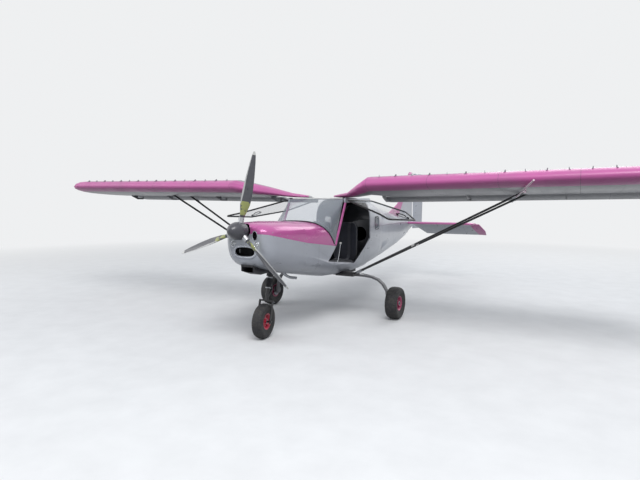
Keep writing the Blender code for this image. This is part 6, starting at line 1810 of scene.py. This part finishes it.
# A vane and its foot, as shares of the vane's half thickness, half length and height
VANE_SHARES = (
    (-1, -1, -0.2), (-1, 1, -0.2), (1, 1, -0.2), (1, -1, -0.2),
    (-1, 0.1, 1), (-1, 1, 1), (1, 1, 1), (1, 0.1, 1),
    (-2.6, -1.15, -0.05), (-2.6, 1.15, -0.05), (2.6, 1.15, -0.05), (2.6, -1.15, -0.05),
    (-2.6, -1.15, 0.05), (-2.6, 1.15, 0.05), (2.6, 1.15, 0.05), (2.6, -1.15, 0.05),
)
BOX_FACES = ([0, 1, 2, 3], [4, 7, 6, 5], [0, 4, 5, 1], [3, 2, 6, 7], [0, 3, 7, 4], [1, 5, 6, 2])
VANE_SIZE = (0.0022, 0.022, 0.022)
VANE_OUT = (1.15, 4.15)
VANE_TURN = 14


class ULTRALIGHT_OT_vanes(bpy.types.Operator):
    """Set the vortex generators along both wings' noses"""

    bl_idname = "ultralight.vanes"
    bl_label = "Vanes"

    def execute(self, context):
        f = finishes()
        count = settings().generators
        out = np.linspace(*VANE_OUT, count)
        shape = np.array(VANE_SHARES, float) * VANE_SIZE
        faces = [*BOX_FACES, *[[8 + k for k in face] for face in BOX_FACES]]
        for side_name, side in SIDES.items():
            tree = skin_tree(f"wing_{side_name}")
            starts = np.stack([side * out, np.full(count, VANE_STATION), np.full(count, RAYS_ABOVE)], axis=1)
            places, rows_of = seated(tree, starts, (0, 0, -1))
            bases = []
            for index, (_, _, normal) in enumerate(rows_of):
                turn = math.radians(VANE_TURN if index % 2 else -VANE_TURN)
                along = Vector((math.sin(turn), math.cos(turn), 0.0))
                normal = Vector(normal)
                along = (along - normal * along.dot(normal)).normalized()
                bases.append([along.cross(normal), along, normal])
            scattered(f"vanes_{side_name}", shape, faces, places, np.array(bases), 1.0,
                      "airframe", f["plain_wing"], angle=0)
        return {"FINISHED"}


SEAT_LEVEL = 0.790
SEAT_REST_DEEP = 0.100
BELT_SHIFTS = {"left": -0.085, "right": 0.085}
BELT_WIDE = 0.044
LAP_BELT_WIDE = 0.046
BELT_THICK = 0.002
BUCKLE = ((0.0, 0.0), (0.026, 0.0), (0.028, 0.002), (0.028, 0.008), (0.022, 0.011), (0.0, 0.011))
UPPER_DIALS = 1.205
LOWER_DIALS = 1.115
# Each dial's place across the panel, level and radius
DIALS = (
    (-0.235, UPPER_DIALS, 0.038),
    (-0.150, UPPER_DIALS, 0.038),
    (-0.065, UPPER_DIALS, 0.038),
    (0.065, UPPER_DIALS, 0.038),
    (0.150, UPPER_DIALS, 0.030),
    (0.225, 1.200, 0.030),
    (-0.190, LOWER_DIALS, 0.038),
    (-0.105, LOWER_DIALS, 0.038),
    (0.110, LOWER_DIALS, 0.026),
    (0.175, LOWER_DIALS, 0.026),
    (0.240, LOWER_DIALS, 0.026),
)
GRIP_ROUTE = ((0.0, -1.505, 0.905), (0.0, -1.470, 0.960), (0.0, -1.440, 1.010), (0.0, -1.432, 1.040))
THROTTLE_ROUTE = (
    (0.417, -1.585, 0.792),
    (0.414, -1.530, 0.900),
    (0.408, -1.480, 1.030),
    (0.406, -1.468, 1.058),
)
THROTTLE_BALL_AT = (0.406, -1.466, 1.066)
THROTTLE_BALL = 0.0150
PEDALS_OUT = (0.115, 0.275)
PEDAL_HALF = 0.045
PEDAL_FOOT = (-2.255, 0.812)
PEDAL_TOP = (-2.225, 0.905)
SWITCH_LEVEL = 1.085
SWITCHES = (-0.035, 0.045)
SWITCH_PITCH = 0.02


class ULTRALIGHT_OT_cabin(bpy.types.Operator):
    """Make the seats, belts, dials, switches, levers, pedals and the column's grip"""

    bl_idname = "ultralight.cabin"
    bl_label = "Cabin"

    def execute(self, context):
        f = finishes()
        for side_name in SIDES:
            self.seat(side_name, f)
            self.belts(side_name, f)
        self.dials(f)
        self.controls(f)
        return {"FINISHED"}

    def cushion(self, name, low, high, axis, crown, channels, cloth):
        """Unit cube blown to a |p|^7 ball, p = c + h n; swell cos cos, waist, and sewn channels."""
        n = 26
        line = np.linspace(-1, 1, n)
        u, v = np.meshgrid(line, line, indexing="ij")
        sheets = []
        for across in range(3):
            rest = [k for k in range(3) if k != across]
            for sign in (-1, 1):
                sheet = np.zeros((n, n, 3))
                sheet[..., across], sheet[..., rest[0]], sheet[..., rest[1]] = sign, u, v
                sheets.append(sheet.reshape(-1, 3))
        points = np.concatenate(sheets)
        points /= (np.abs(points) ** 7).sum(axis=1, keepdims=True) ** (1 / 7)
        half, centre = (np.array(high) - low) / 2, (np.array(high) + low) / 2
        rest = [k for k in range(3) if k != axis]
        swell = np.cos(points[:, rest] * math.pi / 2).prod(axis=1)
        waist = 1 - 0.03 * np.abs(points[:, rest[1]]) ** 4
        placed = centre + points * half
        placed[:, rest[0]] = centre[rest[0]] + points[:, rest[0]] * half[rest[0]] * waist
        placed[:, axis] -= np.sign(points[:, axis]) * (1 - swell) * crown
        sewn = np.exp(-(((np.abs(points[:, rest[0]]) - 0.72) / 0.035) ** 2))
        for place in channels:
            sewn += np.exp(-(((points[:, rest[1]] - place) / 0.035) ** 2))
        placed[:, axis] -= np.sign(points[:, axis]) * np.clip(sewn, 0, 1) * 0.006
        faces = np.concatenate([grid_faces(n, n, False, False) + k * n * n for k in range(6)])
        piece = make(name, placed, faces.tolist(), "airframe", cloth, 70.0, 1e-5)
        soft = piece.modifiers.new("soft", "SUBSURF")
        soft.levels = 1
        soft.render_levels = 1
        left, right = rounded(np.linspace(0, TAU, 80, endpoint=False), 0.28)
        ring = np.zeros((80, 3))
        ring[:, rest[0]] = left * half[rest[0]] * 0.985
        ring[:, rest[1]] = right * half[rest[1]] * 0.985
        ring[:, axis] = half[axis] - crown - 0.006
        tube(f"{name}_piping", ring + centre, 0.0035, "airframe", cloth, 8, closed=True)
        return piece

    def seat(self, side_name, f):
        """Seat pan, back and base, in the room that the solid holds."""
        low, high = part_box(f"seat_{side_name}")
        top, deep = SEAT_LEVEL, SEAT_REST_DEEP
        pan = self.cushion(
            f"seat_pan_{side_name}", (low.x, low.y, top - 0.095), (high.x, high.y - deep + 0.01, top),
            2, 0.016, (-0.35, 0.25), f["cloth"],
        )
        back = self.cushion(
            f"seat_rest_{side_name}", (low.x, high.y - deep, top - 0.03), (high.x, high.y, high.z),
            1, 0.014, (-0.45, 0.0, 0.45), f["cloth"],
        )
        near = np.array((low.x + 0.012, low.y + 0.02))
        far = np.array((high.x - 0.012, high.y - 0.012))
        outline = np.stack(rounded(np.linspace(0, TAU, 44, endpoint=False), 0.2), axis=1)
        outline = (near + far) / 2 + (far - near) / 2 * outline
        bottom, lid = low.z, top - 0.092
        rings = [
            np.column_stack([outline, np.full(44, level)])
            for level in (bottom, bottom + 0.004, lid - 0.004, lid)
        ]
        sweep(f"seat_base_{side_name}", rings, "airframe", f["plastic"])
        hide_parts(f"seat_{side_name}")

    def belts(self, side_name, f):
        """Flat straps: a rectangle w by t carried along a smooth run over the seat."""
        low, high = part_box(f"seat_{side_name}")
        middle = (low.x + high.x) / 2
        face = high.y - SEAT_REST_DEEP
        run = eased([
            (0, high.y - 0.015, high.z - 0.02),
            (0, high.y - 0.045, high.z + 0.004),
            (0, face - 0.004, high.z - 0.05),
            (0, face - 0.006, 1.05),
            (0, face - 0.012, 0.86),
            (0, face - 0.075, 0.797),
            (0, face - 0.150, 0.797),
        ])
        for label, shift in BELT_SHIFTS.items():
            strap(f"shoulder_belt_{label}_{side_name}", run + (middle + shift, 0, 0), (1, 0, 0),
                  BELT_WIDE, f["webbing"])
        lap = eased([
            (middle - 0.178, face - 0.06, 0.770),
            (middle - 0.10, face - 0.11, 0.796),
            (middle, face - 0.15, 0.801),
            (middle + 0.10, face - 0.11, 0.796),
            (middle + 0.178, face - 0.06, 0.770),
        ])
        strap(f"lap_belt_{side_name}", lap, (0, 1, 0.1), LAP_BELT_WIDE, f["webbing"])
        turned(f"belt_buckle_{side_name}", BUCKLE, (middle, face - 0.152, 0.801), (0, 0, 1), "airframe",
               f["bare"], 28)

    def dials(self, f):
        """Round gauges on the panel: a pale face in a raised ring, with a needle."""
        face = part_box("instrument_panel")[1].y
        shape, faces = block()
        for index, (x, z, r) in enumerate(DIALS):
            ring = [(r * 0.86, 0.0), (r * 0.86, 0.006), (r * 0.94, 0.008), (r, 0.004), (r, 0.0)]
            turned(f"dial_ring_{index}", ring, (x, face, z), (0, 1, 0), "airframe",
                   f["black"], 36)
            plate = [(0.0, 0.0005), (r * 0.87, 0.0005), (r * 0.87, 0.003), (0.0, 0.003)]
            turned(f"dial_face_{index}", plate, (x, face, z), (0, 1, 0), "airframe",
                   f["dial"], 36)
            cos, sin = math.cos(0.7 * index), math.sin(0.7 * index)
            spin = np.array([(cos, 0, sin), (0, 1, 0), (-sin, 0, cos)])
            needle = (shape + (0, 0, 0.35)) * (0.0022, 0.0012, r * 0.72)
            scattered(f"dial_needle_{index}", needle, faces, [(x, face + 0.004, z)], spin, 1.0,
                      "airframe", f["white"], angle=0)

    def controls(self, f):
        """Column grip, throttle levers with their balls, rudder pedals and a row of switches."""
        grip = eased(GRIP_ROUTE)
        wide = 0.0165 + 0.0022 * np.sin(np.linspace(0, 9 * math.pi, len(grip))) ** 2
        sweep("column_grip", tube_rings(grip, wide, 20), "airframe", f["plastic"])
        turn = np.linspace(-math.pi / 2, math.pi / 2, 18)
        ball = THROTTLE_BALL * np.stack([np.cos(turn), np.sin(turn)], axis=1)
        for side_name, side in SIDES.items():
            lever = eased(to_side(THROTTLE_ROUTE, side))
            tube(f"throttle_lever_{side_name}", lever, 0.0055, "airframe", f["bare"], 12)
            turned(f"throttle_ball_{side_name}", ball, to_side(THROTTLE_BALL_AT, side), (0, 0, 1),
                   "airframe", f["white"], 28)
            for index, x in enumerate(PEDALS_OUT):
                corners = (
                    (x - PEDAL_HALF, *PEDAL_FOOT),
                    (x - PEDAL_HALF, *PEDAL_TOP),
                    (x + PEDAL_HALF, *PEDAL_TOP),
                    (x + PEDAL_HALF, *PEDAL_FOOT),
                )
                tube(f"rudder_pedal_{side_name}_{index}", eased(to_side(corners, side)), 0.0085,
                     "airframe", f["bare"])
        points, faces = hexagon(2.2)
        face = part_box("instrument_panel")[1].y
        places = row(*[(x, face, SWITCH_LEVEL) for x in SWITCHES], SWITCH_PITCH)
        rows_of = np.array([(1, 0, 0), (0, 0, -1), (0, 1, 0)])
        scattered("panel_switches", points, faces, places, rows_of, 0.0045,
                  "airframe", f["bare"])


def strap(name, path, flat, wide, material):
    """A flat strap: at each point of a path, a rectangle wide along flat and thin square to it."""
    tangent = np.gradient(path, axis=0)
    tangent /= np.linalg.norm(tangent, axis=1, keepdims=True)
    flat = np.asarray(flat, float) - tangent * (tangent @ np.asarray(flat, float))[:, None]
    flat /= np.linalg.norm(flat, axis=1, keepdims=True)
    square = np.cross(tangent, flat)
    corners = np.array([(-1, -1), (0, -1), (1, -1), (1, 1), (0, 1), (-1, 1)]) / 2
    across = flat[:, None] * corners[None, :, :1] * wide
    through = square[:, None] * corners[None, :, 1:] * BELT_THICK
    return sweep(name, path[:, None] + across + through, "airframe", material)


class ULTRALIGHT_PT_panel(bpy.types.Panel):
    bl_label = "Ultralight"
    bl_idname = "ULTRALIGHT_PT_panel"
    bl_space_type = "VIEW_3D"
    bl_region_type = "UI"
    bl_category = "Ultralight"

    def draw(self, context):
        layout = self.layout
        for key in ULTRALIGHT_settings.__annotations__:
            layout.prop(context.scene.ultralight, key)
        for cls in OPERATORS:
            layout.operator(cls.bl_idname)


OPERATORS = (
    ULTRALIGHT_OT_stage,
    ULTRALIGHT_OT_skins,
    ULTRALIGHT_OT_nose,
    ULTRALIGHT_OT_glazing,
    ULTRALIGHT_OT_rivets,
    ULTRALIGHT_OT_wheels,
    ULTRALIGHT_OT_gear,
    ULTRALIGHT_OT_fittings,
    ULTRALIGHT_OT_vanes,
    ULTRALIGHT_OT_cabin,
)
CLASSES = (ULTRALIGHT_settings, *OPERATORS, ULTRALIGHT_PT_panel)


def register():
    for cls in CLASSES:
        bpy.utils.register_class(cls)
    bpy.types.Scene.ultralight = PointerProperty(type=ULTRALIGHT_settings)


def unregister():
    del bpy.types.Scene.ultralight
    for cls in reversed(CLASSES):
        bpy.utils.unregister_class(cls)


def main():
    register()
    bpy.ops.ultralight.stage()
    bpy.ops.ultralight.skins()
    bpy.ops.ultralight.nose()
    bpy.ops.ultralight.glazing()
    bpy.ops.ultralight.rivets()
    bpy.ops.ultralight.wheels()
    bpy.ops.ultralight.gear()
    bpy.ops.ultralight.fittings()
    bpy.ops.ultralight.vanes()
    bpy.ops.ultralight.cabin()


if __name__ == "__main__":
    main()
